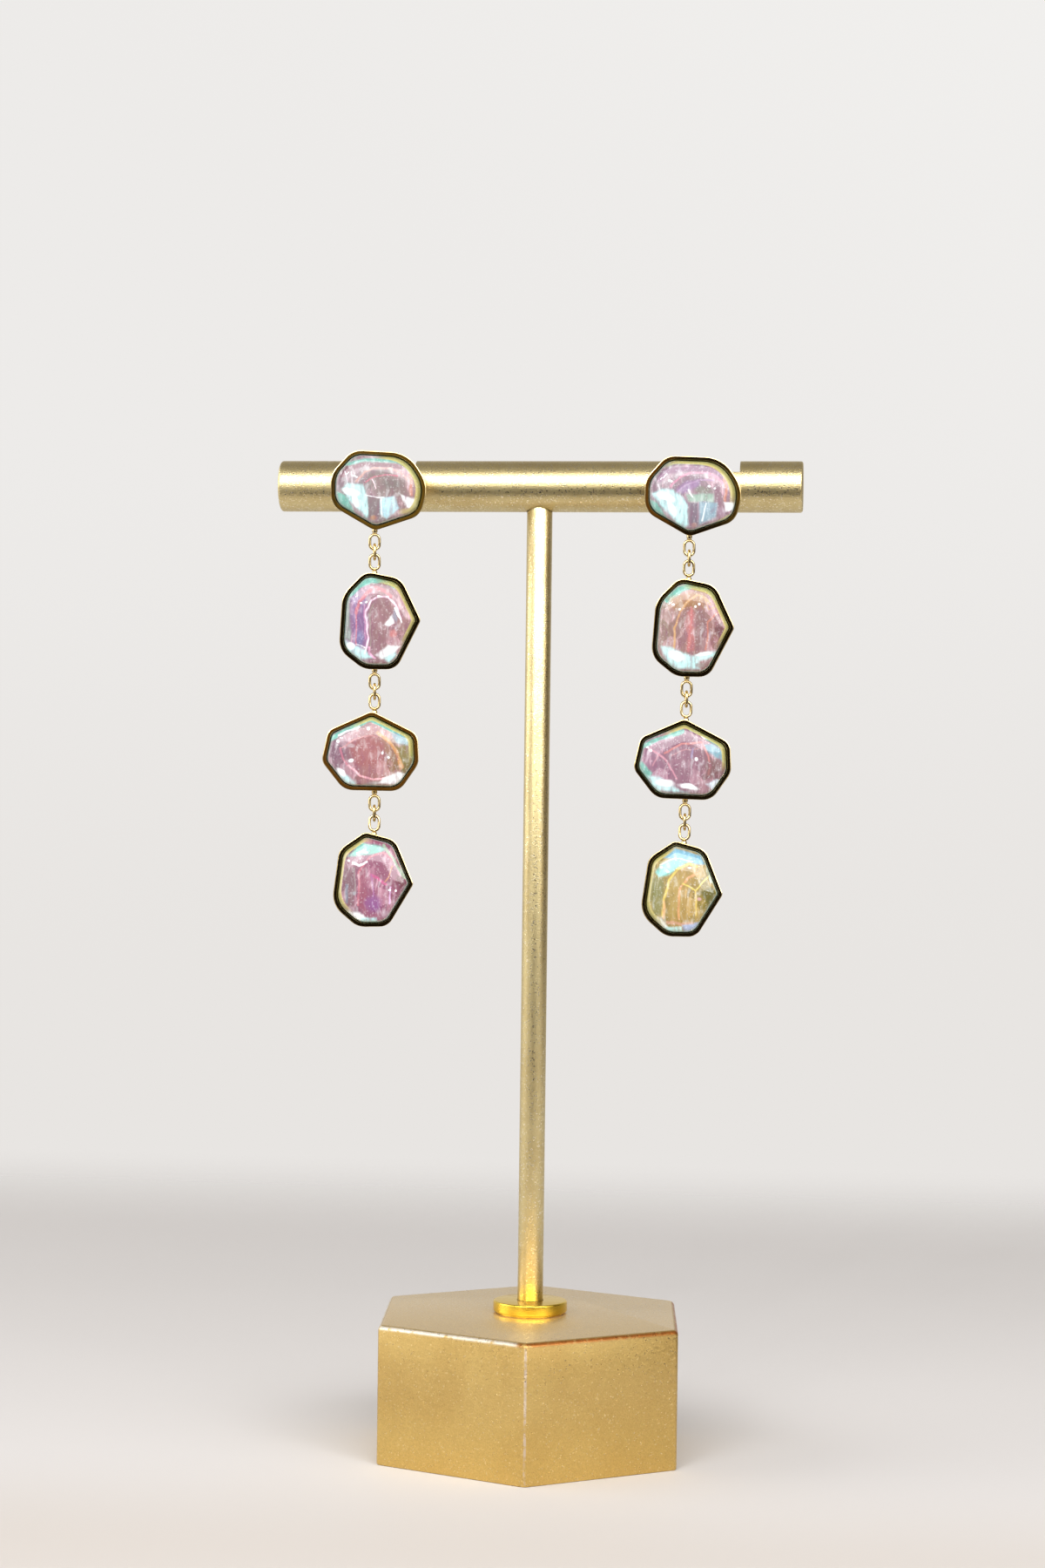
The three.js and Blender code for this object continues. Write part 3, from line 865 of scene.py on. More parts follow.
@dataclass
class Stand:
    """The hexagonal base, the collar, the post and the notched bar."""

    across_flats: float = 46 * MM
    base_height: float = 21.5 * MM
    base_turn: float = 5.0
    corner_bevel: float = 0.464 * MM
    top_bevel: float = 0.7 * MM
    foot_bevel: float = 0.3 * MM
    collar_radius: float = 5.8 * MM
    collar_height: float = 2 * MM
    collar_bevel: float = 0.25 * MM
    seat_height: float = 0.25 * MM
    seat_step: float = 0.6 * MM
    post_radius: float = 2 * MM
    post_showing: float = 126 * MM
    post_buried: float = 2 * MM
    post_bevel: float = 0.15 * MM
    post_play: float = 0.1 * MM
    bar_radius: float = 4 * MM
    bar_length: float = 82.5 * MM
    end_chamfer: float = 0.4 * MM
    notch_width: float = 12 * MM
    notch_depth: float = 2 * MM
    notch_centre: float = 25.5 * MM
    broad_sides: int = 128
    post_sides: int = 72
    smooth: float = 40.0
    body: str = "stand"

    @property
    def bar_height(self) -> float:
        """Height of the bar's axis."""
        return self.base_height + self.post_showing + self.bar_radius

    @property
    def bore(self) -> float:
        """Radius of the holes that the post goes into."""
        return self.post_radius + self.post_play

    def build(self) -> None:
        """Models and dresses every piece of the stand."""
        reach = self.across_flats / math.sqrt(3)
        lacquer = FlakeLacquer(reach, self.base_height, math.radians(self.base_turn))
        dress(self.base(reach), lacquer.material(), self.body, "base")
        dress(self.collar(), CollarGold().material(), self.body, "collar")
        satin = SatinGold().material()
        dress(self.post(), satin, self.body, "post")
        dress(self.bar(), satin, self.body, "bar")

    def base(self, reach: float) -> Piece:
        """Models the base from a six-sided cylinder with its edges rounded."""
        half = self.base_height / 2
        bench = Bench("lacquered_base")
        bench.cylinder(6, reach, self.base_height, (0, 0, half),
                       (0, 0, math.radians(self.base_turn)))
        bench.choose("edges", lambda e: not level(e))
        bench.bevel(self.corner_bevel, 5)
        bench.choose("edges", lambda e: all(v.co.z > half - TINY for v in e.verts))
        bench.bevel(self.top_bevel, 4, profile=0.4)
        bench.choose("edges", lambda e: all(v.co.z < TINY - half for v in e.verts))
        bench.bevel(self.foot_bevel, 2)
        return bench.end(self.smooth)

    def collar(self) -> Piece:
        """Models the collar: a bored ring with rounded edges over a narrower seat."""
        bench = Bench("collar_ring")
        height = self.collar_height - self.seat_height
        bench.cylinder(self.broad_sides, self.collar_radius, height,
                       (0, 0, self.base_height + self.seat_height + height / 2))
        bench.choose("edges", level)
        bench.bevel(self.collar_bevel, 4)
        bench.choose("faces", lambda f: f.normal.z < -FACING)
        bpy.ops.mesh.inset(thickness=self.seat_step - self.collar_bevel)
        bench.extrude(0, 0, -self.seat_height)
        bench.choose("faces", lambda f: many_sided(f) and f.normal.z > FACING)
        bpy.ops.mesh.inset(thickness=self.collar_radius - self.collar_bevel - self.bore)
        bench.choose("faces", lambda f: many_sided(f) and f.normal.z < -FACING)
        bpy.ops.mesh.inset(thickness=self.collar_radius - self.seat_step - self.bore)
        bench.choose("faces", many_sided)
        bpy.ops.mesh.bridge_edge_loops()
        return bench.end(30.0)

    def post(self) -> Piece:
        """Models the post, with its ends eased."""
        bench = Bench("post_rod")
        length = self.post_showing + self.post_buried
        bench.cylinder(self.post_sides, self.post_radius, length,
                       (0, 0, self.base_height + length / 2))
        bench.choose("edges", level)
        bench.bevel(self.post_bevel, 2)
        return bench.end(self.smooth)

    def bar(self) -> Piece:
        """Models the bar, and cuts its notches and the blind hole for the post."""
        bench = Bench("notched_bar")
        bench.cylinder(self.broad_sides, self.bar_radius, self.bar_length,
                       (0, 0, self.bar_height), (0, math.pi / 2, 0))
        bench.choose("edges", level)
        bench.bevel(self.end_chamfer, 4)
        bar = bench.end(self.smooth)
        floor = self.bar_height + self.bar_radius - self.notch_depth
        for side in (-1, 1):
            select_only()
            bpy.ops.mesh.primitive_cube_add(
                size=1, location=(side * self.notch_centre, 0, floor + self.bar_radius),
                scale=(self.notch_width, 4 * self.bar_radius, 2 * self.bar_radius))
            self.subtract(bar, bpy.context.object)
        select_only()
        top = self.bar_height - self.bar_radius + self.post_buried + self.post_play
        bpy.ops.mesh.primitive_cylinder_add(vertices=self.post_sides, radius=self.bore,
                                            depth=self.bar_radius,
                                            location=(0, 0, top - self.bar_radius / 2))
        self.subtract(bar, bpy.context.object)
        bpy.ops.object.shade_smooth_by_angle(angle=math.radians(self.smooth))
        return bar

    @staticmethod
    def subtract(piece: Piece, tool: Piece) -> None:
        """Takes a tool's shape away from a piece."""
        select_only(piece)
        cutter = piece.modifiers.new("cut", "BOOLEAN")
        cutter.operation = "DIFFERENCE"
        cutter.solver = "EXACT"
        cutter.object = tool
        bpy.ops.object.modifier_apply(modifier=cutter.name)
        bpy.data.objects.remove(tool, do_unlink=True)


@dataclass
class Bezel:
    """A bezel setting's section, the same for every outline, and the stone in it."""

    depth: float = 3.4 * MM
    floor: float = 0.6 * MM
    taper: float = 0.6 * MM
    back_round: float = 0.3 * MM
    rim_chamfer: float = 0.1 * MM
    rim_width: float = 0.47 * MM
    wall_depth: float = 0.5 * MM
    wall_lean: float = 0.08 * MM
    clearance: float = 0.08 * MM
    crown: float = 1.7 * MM
    chain_depth: float = 1.8 * MM
    long_side: float = 1.2 * MM
    dome_rings: int = 12

    @property
    def rim_inset(self) -> float:
        """How far in the rim's inner edge is."""
        return self.rim_chamfer + self.rim_width

    @property
    def girdle(self) -> float:
        """How far forward of the back the stone is widest."""
        return self.depth - self.wall_depth

    @property
    def girdle_place(self) -> float:
        """Where the girdle is along Y, from the chain's plane."""
        return self.chain_depth - self.girdle

    def narrowed(self, depth: float) -> float:
        """How far in the outer wall is at a depth."""
        return self.taper * (1 - depth / (self.depth - self.rim_chamfer))

    def cup(self, name: str, outline: Outline) -> Piece:
        """Models the metal cup from a stack of rings.

        Args:
            name: The piece's name.
            outline: Its outline.

        Returns:
            The cup, hung from its own plumb line.
        """
        wall = self.rim_inset + self.wall_lean
        front = self.depth
        section = [
            # The back, rounded into the outer wall.
            (self.narrowed(0) + self.back_round + 0.06 * MM, 0.0),
            (self.narrowed(0) + self.back_round, 0.0),
            (self.narrowed(0) + 0.09 * MM, 0.09 * MM),
            (self.narrowed(self.back_round), self.back_round),
            # The outer wall's front edge and its chamfer.
            (0.012 * MM, front - self.rim_chamfer - 0.06 * MM),
            (0.0, front - self.rim_chamfer),
            (0.03 * MM, front - 0.03 * MM),
            # The flat rim, with its inner edge eased.
            (self.rim_chamfer, front),
            (self.rim_chamfer + 0.02 * MM, front),
            (self.rim_inset - 0.05 * MM, front),
            (self.rim_inset - 0.03 * MM, front),
            (self.rim_inset, front - 0.03 * MM),
            (self.rim_inset + 0.002 * MM, front - 0.06 * MM),
            # The inner wall, down to the floor.
            (wall, self.girdle),
            (wall, self.floor),
        ]
        bench = Bench(name)
        bench.blank()
        last, depth = section[0]
        bench.ring(outline, last, self.chain_depth - depth)
        for inset, depth in section[1:]:
            bench.step(outline, last, inset, self.chain_depth - depth)
            last = inset
        bpy.ops.mesh.select_all(action="DESELECT")
        bpy.ops.mesh.select_non_manifold()
        bpy.ops.mesh.fill_holes(sides=0)
        bench.choose("faces", many_sided)
        bpy.ops.mesh.poke()
        cup = bench.end(28.0)
        rim = cup.data.attributes.new(RIM_MARK, "FLOAT", "FACE")
        for face in cup.data.polygons:
            if face.normal.y < -FACING and face.center.y < self.chain_depth - front + 0.01 * MM:
                rim.data[face.index].value = 1.0
        return cup

    def stone(self, name: str, outline: Outline) -> Piece:
        """Models a domed stone: its girdle extruded and drawn in, a little rounder each time."""
        inset = self.rim_inset + self.wall_lean + self.clearance
        girdle = self.girdle_place
        back = self.chain_depth - self.floor - self.clearance
        bench = Bench(name)
        bench.blank()
        bench.ring(outline, inset, back)
        bench.choose("edges", lambda e: e.calc_length() > self.long_side)
        bpy.ops.mesh.subdivide(number_cuts=6)
        bpy.ops.mesh.select_all(action="SELECT")
        bpy.ops.mesh.edge_face_add()
        bench.extrude(0, girdle - back, 0)
        verts = [v.co for v in bench.mesh.verts if v.select]
        centre = sum(verts, Vector()) / len(verts)
        size, rise = 1.0, 0.0
        for step in range(1, self.dome_rings + 1):
            angle = math.pi / 2 * step / (self.dome_rings + 1)
            new_size = math.cos(angle) ** (2 / DOME_POWER)
            new_rise = math.sin(angle) ** (2 / DOME_POWER) * self.crown
            bench.extrude(0, rise - new_rise, 0)
            share = new_size / size
            place = (centre.x, girdle - new_rise, centre.z)
            bpy.ops.transform.resize(value=(share, 1, share), center_override=place)
            if step > 2:
                bpy.ops.mesh.vertices_smooth(factor=0.4, repeat=2, yaxis=False)
            size, rise = new_size, new_rise
        bpy.ops.mesh.poke()
        return bench.end(60.0)


@dataclass
class Chain:
    """The small oval links and the solder beads at their ends."""

    wire: float = 0.45 * MM
    play: float = 0.3 * MM
    straight: float = 0.8 * MM
    solder_height: float = 0.75 * MM
    solder_radius: float = 0.45 * MM
    solder_bite: float = 0.2 * MM
    smooth: float = 80.0

    @property
    def bend(self) -> float:
        """Radius of the wire's middle line at a link's ends."""
        return self.wire + self.play

    @property
    def reach(self) -> float:
        """Distance between the middles of the wire at a link's two ends."""
        return 2 * self.bend + self.straight

    @property
    def edge_to_wire(self) -> float:
        """Distance from a setting's edge to the far wire of its end link."""
        return self.solder_height + self.wire / 2 + self.reach

    def link(self) -> Piece:
        """Models an oval link standing in the XZ plane: a torus drawn out in the middle."""
        bench = Bench("link")
        bpy.ops.mesh.primitive_torus_add(
            major_radius=self.bend, minor_radius=self.wire / 2, major_segments=28,
            minor_segments=14, rotation=(math.pi / 2, 0, 0))
        bench.begin()
        for side in (-1, 1):
            bench.choose("verts", lambda v: side * v.co.y > TINY)
            bpy.ops.transform.translate(value=(0, 0, side * self.straight / 2))
        return bench.end(self.smooth)

    def bead(self) -> Piece:
        """Models a solder bead, drawn out along the chain so that it bites into both ends."""
        bench = Bench("bead")
        bpy.ops.mesh.primitive_uv_sphere_add(segments=24, ring_count=14,
                                             radius=self.solder_radius)
        bench.begin()
        stretch = (self.solder_height / 2 + self.solder_bite) / self.solder_radius
        bpy.ops.mesh.select_all(action="SELECT")
        bpy.ops.transform.resize(value=(1, 1, stretch))
        return bench.end(self.smooth)


@dataclass
class Patterns:
    """The pieces that are modelled once and copied to both earrings, with their metal."""

    bezel: Bezel = field(default_factory=Bezel)
    chain: Chain = field(default_factory=Chain)

    def __post_init__(self) -> None:
        """Models them all."""
        self.cups = [self.bezel.cup(f"cup_{i}", outline) for i, outline in enumerate(OUTLINES)]
        self.stones = [self.bezel.stone(f"dome_{i}", outline)
                       for i, outline in enumerate(OUTLINES)]
        self.link, self.bead = self.chain.link(), self.chain.bead()
        self.gold = PolishedGold().material()

    def clear(self) -> None:
        """Takes the patterns away once both earrings hang."""
        for spare in (*self.cups, *self.stones, self.link, self.bead):
            bpy.data.objects.remove(spare, do_unlink=True)


@dataclass
class Earring:
    """One earring: a stud on the bar and the drop that swings under it."""

    side: str
    x: float
    ear_post_rise: float
    lean: float
    turns: tuple[float, float, float, float]
    finishes: tuple[StoneFinish, ...]
    stand: Stand
    patterns: Patterns
    ear_post_radius: float = 0.4 * MM
    ear_post_play: float = 0.1 * MM
    ear_post_point: float = 0.2 * MM
    back_gap: float = 0.3 * MM
    clutch_gap: float = 0.3 * MM
    clutch_disc: float = 2.2 * MM
    clutch_thickness: float = 0.6 * MM
    clutch_body: float = 1.4 * MM
    clutch_length: float = 2 * MM
    clutch_bevel: float = 0.15 * MM
    tail: float = 0.4 * MM
    smooth: float = 40.0

    def build(self) -> None:
        """Hangs the whole earring."""
        place, through = self.stud_place()
        self.setting(0, place, self.stand.body, extra=self.ear_post(through))
        self.clutch(place, through)
        _, low = self.reaches(0)
        self.hang(place @ Vector((0, 0, low - self.patterns.chain.edge_to_wire)))

    def reaches(self, row: int) -> tuple[float, float]:
        """Gives where the plumb line meets a setting's top and bottom edges."""
        bezel = self.patterns.bezel
        low, high = OUTLINES[row].span(bezel.narrowed(bezel.chain_depth))
        return high, low

    def stud_place(self) -> tuple[Matrix, float]:
        """Works out where the stud sits, and how long its post is to the clutch."""
        turn = math.radians(self.turns[0])
        gap = self.back_gap + OUTLINES[0].width / 2 * math.sin(abs(turn))
        room = self.clutch_disc * math.sin(abs(turn))
        radius = self.stand.bar_radius
        through = (gap + 2 * radius + room) / math.cos(turn) + self.clutch_gap
        axis = (self.stand.bar_height + radius - self.stand.notch_depth + self.ear_post_radius
                + self.ear_post_play)
        place = Vector((self.x, -radius - gap - self.patterns.bezel.chain_depth * math.cos(turn),
                        axis - self.ear_post_rise))
        return Matrix.Translation(place) @ Matrix.Rotation(turn, 4, "Z"), through

    def ear_post(self, through: float) -> Piece:
        """Models the ear post, with a pointed end."""
        bezel = self.patterns.bezel
        bench = Bench("ear_post_rod")
        start = bezel.chain_depth - bezel.floor / 2
        length = through + self.clutch_length + self.tail + bezel.floor / 2
        bench.cylinder(24, self.ear_post_radius, length,
                       (OUTLINES[0].middle().x, start + length / 2, self.ear_post_rise),
                       (math.pi / 2, 0, 0))
        bench.choose("faces", lambda f: f.normal.z < -FACING)
        bench.bevel(self.ear_post_point, 3)
        return bench.end(self.smooth)

    def clutch(self, place: Matrix, through: float) -> None:
        """Models the clutch: a disc with a narrower barrel behind it."""
        bench = Bench(f"{self.side}_clutch_nut")
        bench.cylinder(48, self.clutch_disc, self.clutch_thickness,
                       (OUTLINES[0].middle().x,
                        self.patterns.bezel.chain_depth + through + self.clutch_thickness / 2,
                        self.ear_post_rise), (math.pi / 2, 0, 0))
        bench.choose("faces", lambda f: f.normal.z < -FACING)
        bpy.ops.mesh.inset(thickness=self.clutch_disc - self.clutch_body)
        bench.extrude(0, self.clutch_length - self.clutch_thickness, 0)
        bench.choose("edges", lambda e: len(e.link_faces) == 2 and e.calc_face_angle(0) > 1.0)
        bench.bevel(self.clutch_bevel, 3)
        dress(moved(bench.end(self.smooth), place), self.patterns.gold, self.stand.body,
              f"{self.side}_clutch")

    def setting(self, row: int, place: Matrix, body: str,
                extra: Optional[Piece] = None) -> None:
        """Puts one setting and its stone in place, with their soldered links.

        Args:
            row: Its place in the earring, from the top.
            place: Where its plumb line crosses its middle, and how it is turned.
            body: The CAD body that it moves with.
            extra: A piece to join to its metal.
        """
        made, chain = self.patterns, self.patterns.chain
        high, low = self.reaches(row)
        number = row + 1
        parts = [copied(made.cups[row], f"{self.side}_bezel_{number}")]
        ends = ([] if row == 0 else [(high, 1)]) + ([] if row == 3 else [(low, -1)])
        for edge, side in ends:
            for pattern, away in (
                    (made.bead, chain.solder_height / 2),
                    (made.link, chain.solder_height + chain.wire / 2 + chain.reach / 2)):
                part = copied(pattern, "soldered_part")
                parts.append(moved(part, Matrix.Translation((0, 0, edge + side * away))))
        if extra:
            parts.append(extra)
        metal = moved(joined(*parts), place)
        dress(metal, made.gold, body, f"{self.side}_setting_{number}")
        stone = moved(copied(made.stones[row], f"{self.side}_dome_{number}"), place)
        middle = place @ Matrix.Translation(OUTLINES[row].middle())
        finish = self.finishes[row].material(OUTLINES[row], middle, made.bezel)
        dress(stone, finish, body, f"{self.side}_stone_{number}")

    def hang(self, wire: Vector) -> None:
        """Hangs the rest of the drop from the stud's lowest wire."""
        chain = self.patterns.chain
        body = f"{self.side}_drop"
        base = Matrix.Translation(wire) @ Matrix.Rotation(math.radians(self.lean), 4, "Y")
        down = Vector((0, 0, -chain.straight / 2))
        local = Vector((0, 0, 0))
        for row in (1, 2, 3):
            turn = math.radians((self.turns[row - 1] + self.turns[row]) / 2) + math.pi / 2
            place = base @ Matrix.Translation(local + down) @ Matrix.Rotation(turn, 4, "Z")
            loose = moved(copied(self.patterns.link, f"{self.side}_loose_link_{row}"), place)
            dress(loose, self.patterns.gold, body, f"{self.side}_link_{row}")
            high, low = self.reaches(row)
            tip = Matrix.Rotation(-math.radians(OUTLINES[row].tip), 4, "X")
            hung = (Matrix.Translation(local + 2 * down)
                    @ Matrix.Rotation(math.radians(self.turns[row]), 4, "Z") @ tip)
            drop = -chain.edge_to_wire - high
            self.setting(row, base @ hung @ Matrix.Translation((0, 0, drop)), body)
            local = hung @ Vector((0, 0, drop + low - chain.edge_to_wire))


OUTLINES = (
    Outline(15.0 * MM, 12.5 * MM, 0.466, 0, (
        (0.46, 0.0, 0.13), (0.935, 0.2, 0.19), (1.01, 0.58, 0.32), (0.8, 0.98, 0.34),
        (0.22, 1.0, 0.2), (0.0, 0.7, 0.24), (0.0, 0.31, 0.2))),
    Outline(12.7 * MM, 15.1 * MM, 0.444, 0, (
        (0.3, 0.0, 0.28), (0.7, 0.0, 0.2), (1.005, 0.51, 0.08), (0.76, 0.94, 0.22),
        (0.32, 1.01, 0.18), (0.04, 0.77, 0.32), (-0.005, 0.2, 0.26))),
    Outline(15.1 * MM, 12.4 * MM, 0.54, 4, (
        (0.23, 0.015, 0.2), (0.8, 0.0, 0.18), (1.0, 0.35, 0.2), (0.985, 0.72, 0.13),
        (0.515, 1.01, 0.1), (0.065, 0.765, 0.1), (-0.003, 0.378, 0.12))),
    Outline(12.6 * MM, 14.55 * MM, 0.492, 7, (
        (0.32, -0.005, 0.26), (0.695, 0.0, 0.18), (1.005, 0.455, 0.07), (0.775, 0.925, 0.2),
        (0.39, 1.01, 0.11), (0.075, 0.82, 0.2), (-0.005, 0.23, 0.3))),
)

# In these finishes the white, ice, aqua, sky and other pale blue marks are painted reflections:
# near a stone's top of the light from above, near its bottom of the pale floor.
LEFT_FINISHES = (
    StoneFinish("pearl_left", "9b909c", "ab96a3", "b0868f", (
        Line(((-36, 29), (-18, 33), (8, 34), (28, 29), (40, 17)), 3.4, AQUA, 0.85),
        Line(((-42, 16), (-34, 24), (-18, 29), (4, 29), (24, 26)), 4.6, WINE, 0.9),
        Patch(((-16, 8), (-10, 20), (14, 22), (30, 12), (32, -6), (0, -9)), "9a8288", 0.7, 8),
        Line(((-26, 9), (-17, 20), (-7, 25), (13, 24), (24, 19), (31, 13)), 1.8, "efb4b8", 0.9),
        Line(((-16, 8), (-4, 15), (10, 17), (20, 16)), 1.3, PINK, 0.8),
        Line(((-8, 11), (-4, 1)), 1.0, "f0cdd8", 0.8),
        Line(((-16, -7), (5, -8)), 1.0, WHITE, 0.7),
        Line(((34, 18), (36, 10), (36, -4)), 2.6, CORAL, 0.9),
        Glow(14, 7, 14, 7, "8f7f86", 0.7),
        Line(((-39, 20), (-36, 6)), 1.2, "d3cdd8", 0.6),
        Line(((-32, 20), (-30, 6)), 1.0, "dcd3de", 0.5),
        Patch(((-47, -3), (-37, -8), (-27, -27), (-34, -25), (-46, -14)), AQUA, 0.9, 3),
        Patch(((-36, 6), (-20, 5), (-14, -9), (-11, -27), (-16, -37), (-26, -27), (-34, -12),
               (-44, -3)), ICE, 0.92, 5),
        Glow(-32, -3, 12, 5, WHITE, 0.9, -15),
        Glow(-27, -13, 4, 10, WHITE, 0.7, 20),
        Patch(((-13, -8), (0, -9), (0, -28), (-5, -33), (-11, -32)), "9c8694", 0.9, 2),
        Glow(-6, -31, 5, 4, "dca08c", 0.9),
        Patch(((1, -8), (18, -8), (22, -20), (8, -32), (1, -27)), "a9d6e2", 0.85, 3),
        Line(((2, -10), (3, -30)), 1.2, WHITE, 0.7),
        Patch(((24, -5), (43, -10), (42, -18), (31, -18)), WHITE, 0.95, 4),
        Glow(28, -23, 9, 4, "e2c09a", 0.8, 25),
        # Painted highlights of the lamps.
        Glow(-29, 15.6, 2.2, 1.6), Glow(-25.7, 14.2, 1.6, 1.3),
    ), khaki=25),
    StoneFinish("orchid_left", "9a74a6", "ad808e", "b8858f", (
        Patch(((-43, 30), (-35, 30), (-34, -24), (-41, -20)), GREY, 0.85, 3),
        Line(((-34, 30), (-24, 40), (-10, 46), (5, 45), (14, 39)), 5.0, AQUA, 0.95, 0.5),
        Patch(((-32, 27), (-17, 27), (-16, -29), (-24, -32), (-31, -26)), VIOLET, 0.75, 4),
        Glow(-24, -20, 6, 12, "8a86c4", 0.7),
        Line(((-10, 41), (2, 41), (12, 36), (18, 28)), 3.2, "94566c", 0.85),
        Line(((-28, 8), (-24, 22), (-15, 32), (-5, 38), (4, 34), (12, 28)), 2.6, "e87f94", 0.9),
        Line(((-28, 14), (-28, -28)), 1.2, PINK, 0.8),
        Line(((-19, 18), (-18, -20)), 1.1, "e29ad0", 0.8),
        Patch(((-12, 18), (8, 20), (17, 8), (10, -22), (-10, -24)), "a87986", 0.6, 6),
        Line(((-17, -37), (-15, -20), (-17, 10), (-11, 23), (-1, 28), (9, 27), (17, 17), (23, 2)),
             1.7, "efcfe4", 0.9),
        Line(((-12, -34), (-12, 12), (-7, 20)), 1.0, "b9a6a4", 0.7),
        Patch(((5, -4), (12, 6), (15, -3), (10, -6)), WHITE, 0.95, 3),
        Patch(((12, 4), (16, 13), (19, 4), (17, -2)), "b3aed0", 0.8, 3),
        Line(((16, 13), (24, -2)), 1.3, WHITE, 0.95),
        Glow(15, -15, 6, 6, "e5868f", 0.8),
        Line(((-28, -26), (-18, -31)), 1.0, WHITE, 0.6),
        Patch(((-40, -22), (-31, -27), (-20, -32), (-8, -41), (-22, -44), (-37, -35)),
              ICE, 0.92, 5),
        Glow(-34, -29, 6, 6, WHITE, 0.9),
        Line(((-13, -30), (-12, -37), (-6, -42)), 1.8, "e8a9cc", 0.9),
        Patch(((-5, -38), (9, -29), (22, -29), (17, -35), (0, -43)), WHITE, 0.92, 4),
        Patch(((3, -42), (15, -35), (19, -38), (10, -47)), ICE, 0.92, 5),
        # Painted highlights of the lamps.
        Glow(-22.5, 20, 1.8, 1.5), Glow(-17, 21, 2, 1.5),
        Glow(-2, 28, 2.2, 1.8),
    ), khaki=20),
    StoneFinish("rose_left", "8e6a82", "bb7c84", "a3815c", (
        Line(((-46, 13), (-24, 24), (0, 35), (20, 27), (40, 17)), 3.6, AQUA, 0.95, 0.5),
        Line(((-36, 15), (-18, 24), (0, 29)), 2.0, "7e5060", 0.7),
        Line(((-36, 17), (-12, 27)), 1.5, WHITE, 0.95),
        Patch(((24, 20), (34, 22), (44, 12), (42, 4), (30, 8)), SKY, 0.75, 5),
        Patch(((-26, 8), (-4, 16), (16, 8), (14, -14), (-16, -18)), "b96c76", 0.75, 7),
        Patch(((-48, 6), (-34, 8), (-28, -4), (-40, -10), (-49, -4)), "8a5d7a", 0.8, 4),
        Patch(((30, 4), (44, 6), (46, -18), (36, -25)), "94804a", 0.85, 5),
        Line(((8, 21), (20, 13), (30, -2), (36, -18)), 2.6, PEACH, 0.95),
        Line(((14, 16), (24, 6), (31, -8), (34, -20)), 1.4, "e59a6a", 0.9),
        Line(((46, -1), (48, -10), (46, -24)), 2.2, "86a869", 0.9),
        Line(((-34, 3), (-18, 12), (0, 18), (8, 16)), 1.2, "e59aa8", 0.8),
        Line(((-34, 3), (-30, -10), (-26, -16)), 1.6, PINK, 0.8),
        Glow(-22, 6, 6, 3, "d9b8cc", 0.8),
        Glow(-22, -11, 4, 3, WHITE, 0.9),
        Line(((-24, -17), (-11, -28), (4, -33), (18, -31)), 1.6, "eeb3bd", 0.9),
        Patch(((-49, -8), (-43, -13), (-25, -29), (-16, -33), (-18, -38), (-28, -36)),
              ICE, 0.92, 5),
        Glow(-33, -24, 9, 4, WHITE, 0.85, -40),
        Patch(((17, -30), (31, -24), (39, -26), (29, -38), (11, -36)), WHITE, 0.9, 4),
        Glow(2, -37, 12, 3, "c9b3bf", 0.8),
        # Painted highlights of the lamps.
        Glow(13.6, -2.2, 1.8, 2.8, WHITE, 1.0, -20), Glow(20.2, -7.3, 2.2, 1.6, WHITE, 1.0, -30),
        Glow(-2.4, 25, 2, 2.2), Glow(-36.7, 11, 2.6, 2, WHITE, 0.9),
    ), khaki=60),
    StoneFinish("magenta_left", "8e6074", "a65a80", "a4607e", (
        Patch(((-33, 19), (-13, 42), (15, 35), (21, 29), (6, 28), (-14, 15), (-24, 12)),
              AQUA, 0.95, 4),
        Line(((12, 38), (24, 22), (36, 2)), 2.4, "b9cdbd", 0.9),
        Patch(((-33, 12), (-19, 14), (-19, -30), (-28, -32)), "8c6072", 0.8, 4),
        Patch(((-15, 12), (-6, 14), (-6, -36), (-14, -34)), "b05f7c", 0.7, 4),
        Line(((-15, -30), (-15, 8), (-9, 17), (-2, 25), (12, 30), (22, 22)), 1.8, "e0809c", 0.9),
        Line(((-20, 12), (-19, -14)), 1.0, "c3b0bc", 0.7),
        Patch(((2, 22), (18, 20), (24, 6), (6, 2)), "9c4f74", 0.6, 6),
        Line(((-1, 5), (8, -1), (17, -6)), 2.2, "ea66a8", 0.9),
        Line(((-1, 5), (2, -10), (2, -30)), 1.4, "c77cc0", 0.7),
        Line(((23, 14), (19, 2), (15, -3)), 1.2, "eaa088", 0.9),
        Patch(((29, 4), (35, 2), (38, -6), (32, -12), (27, -4)), "7e4450", 0.8, 4),
        Glow(2, -28, 13, 13, "a565b0", 0.75),
        Line(((21, -9), (20, -27)), 1.4, "d9b6dc", 0.8),
        Line(((27, -12), (24, -30)), 1.2, "dca6cc", 0.7),
        Line(((-28, -8), (-28, -26)), 2.4, "8a8fae", 0.7),
        Glow(-20, -16, 3, 3, "b9b3c8", 0.7),
        Line(((-17, 29), (-12, 31), (-6, 30)), 2.2, WHITE, 0.9),
        Line(((-22, 18), (-15, 15), (-6, 19)), 2.0, WHITE, 0.95),
        Patch(((-28, -36), (-13, -38), (-6, -44), (-13, -48), (-24, -45)), WHITE, 0.92, 4),
        Patch(((-13, -43), (5, -43), (6, -51), (-10, -51)), ICE, 0.9, 3),
        Glow(16, -40, 8, 7, "d4a3c4", 0.7),
        # Painted highlights of the lamps.
        Glow(-26.6, 20.6, 2, 2), Glow(20.2, -12.5, 2, 1.6),
        Glow(27.2, -13.2, 1.5, 1.5),
    ), khaki=165),
)
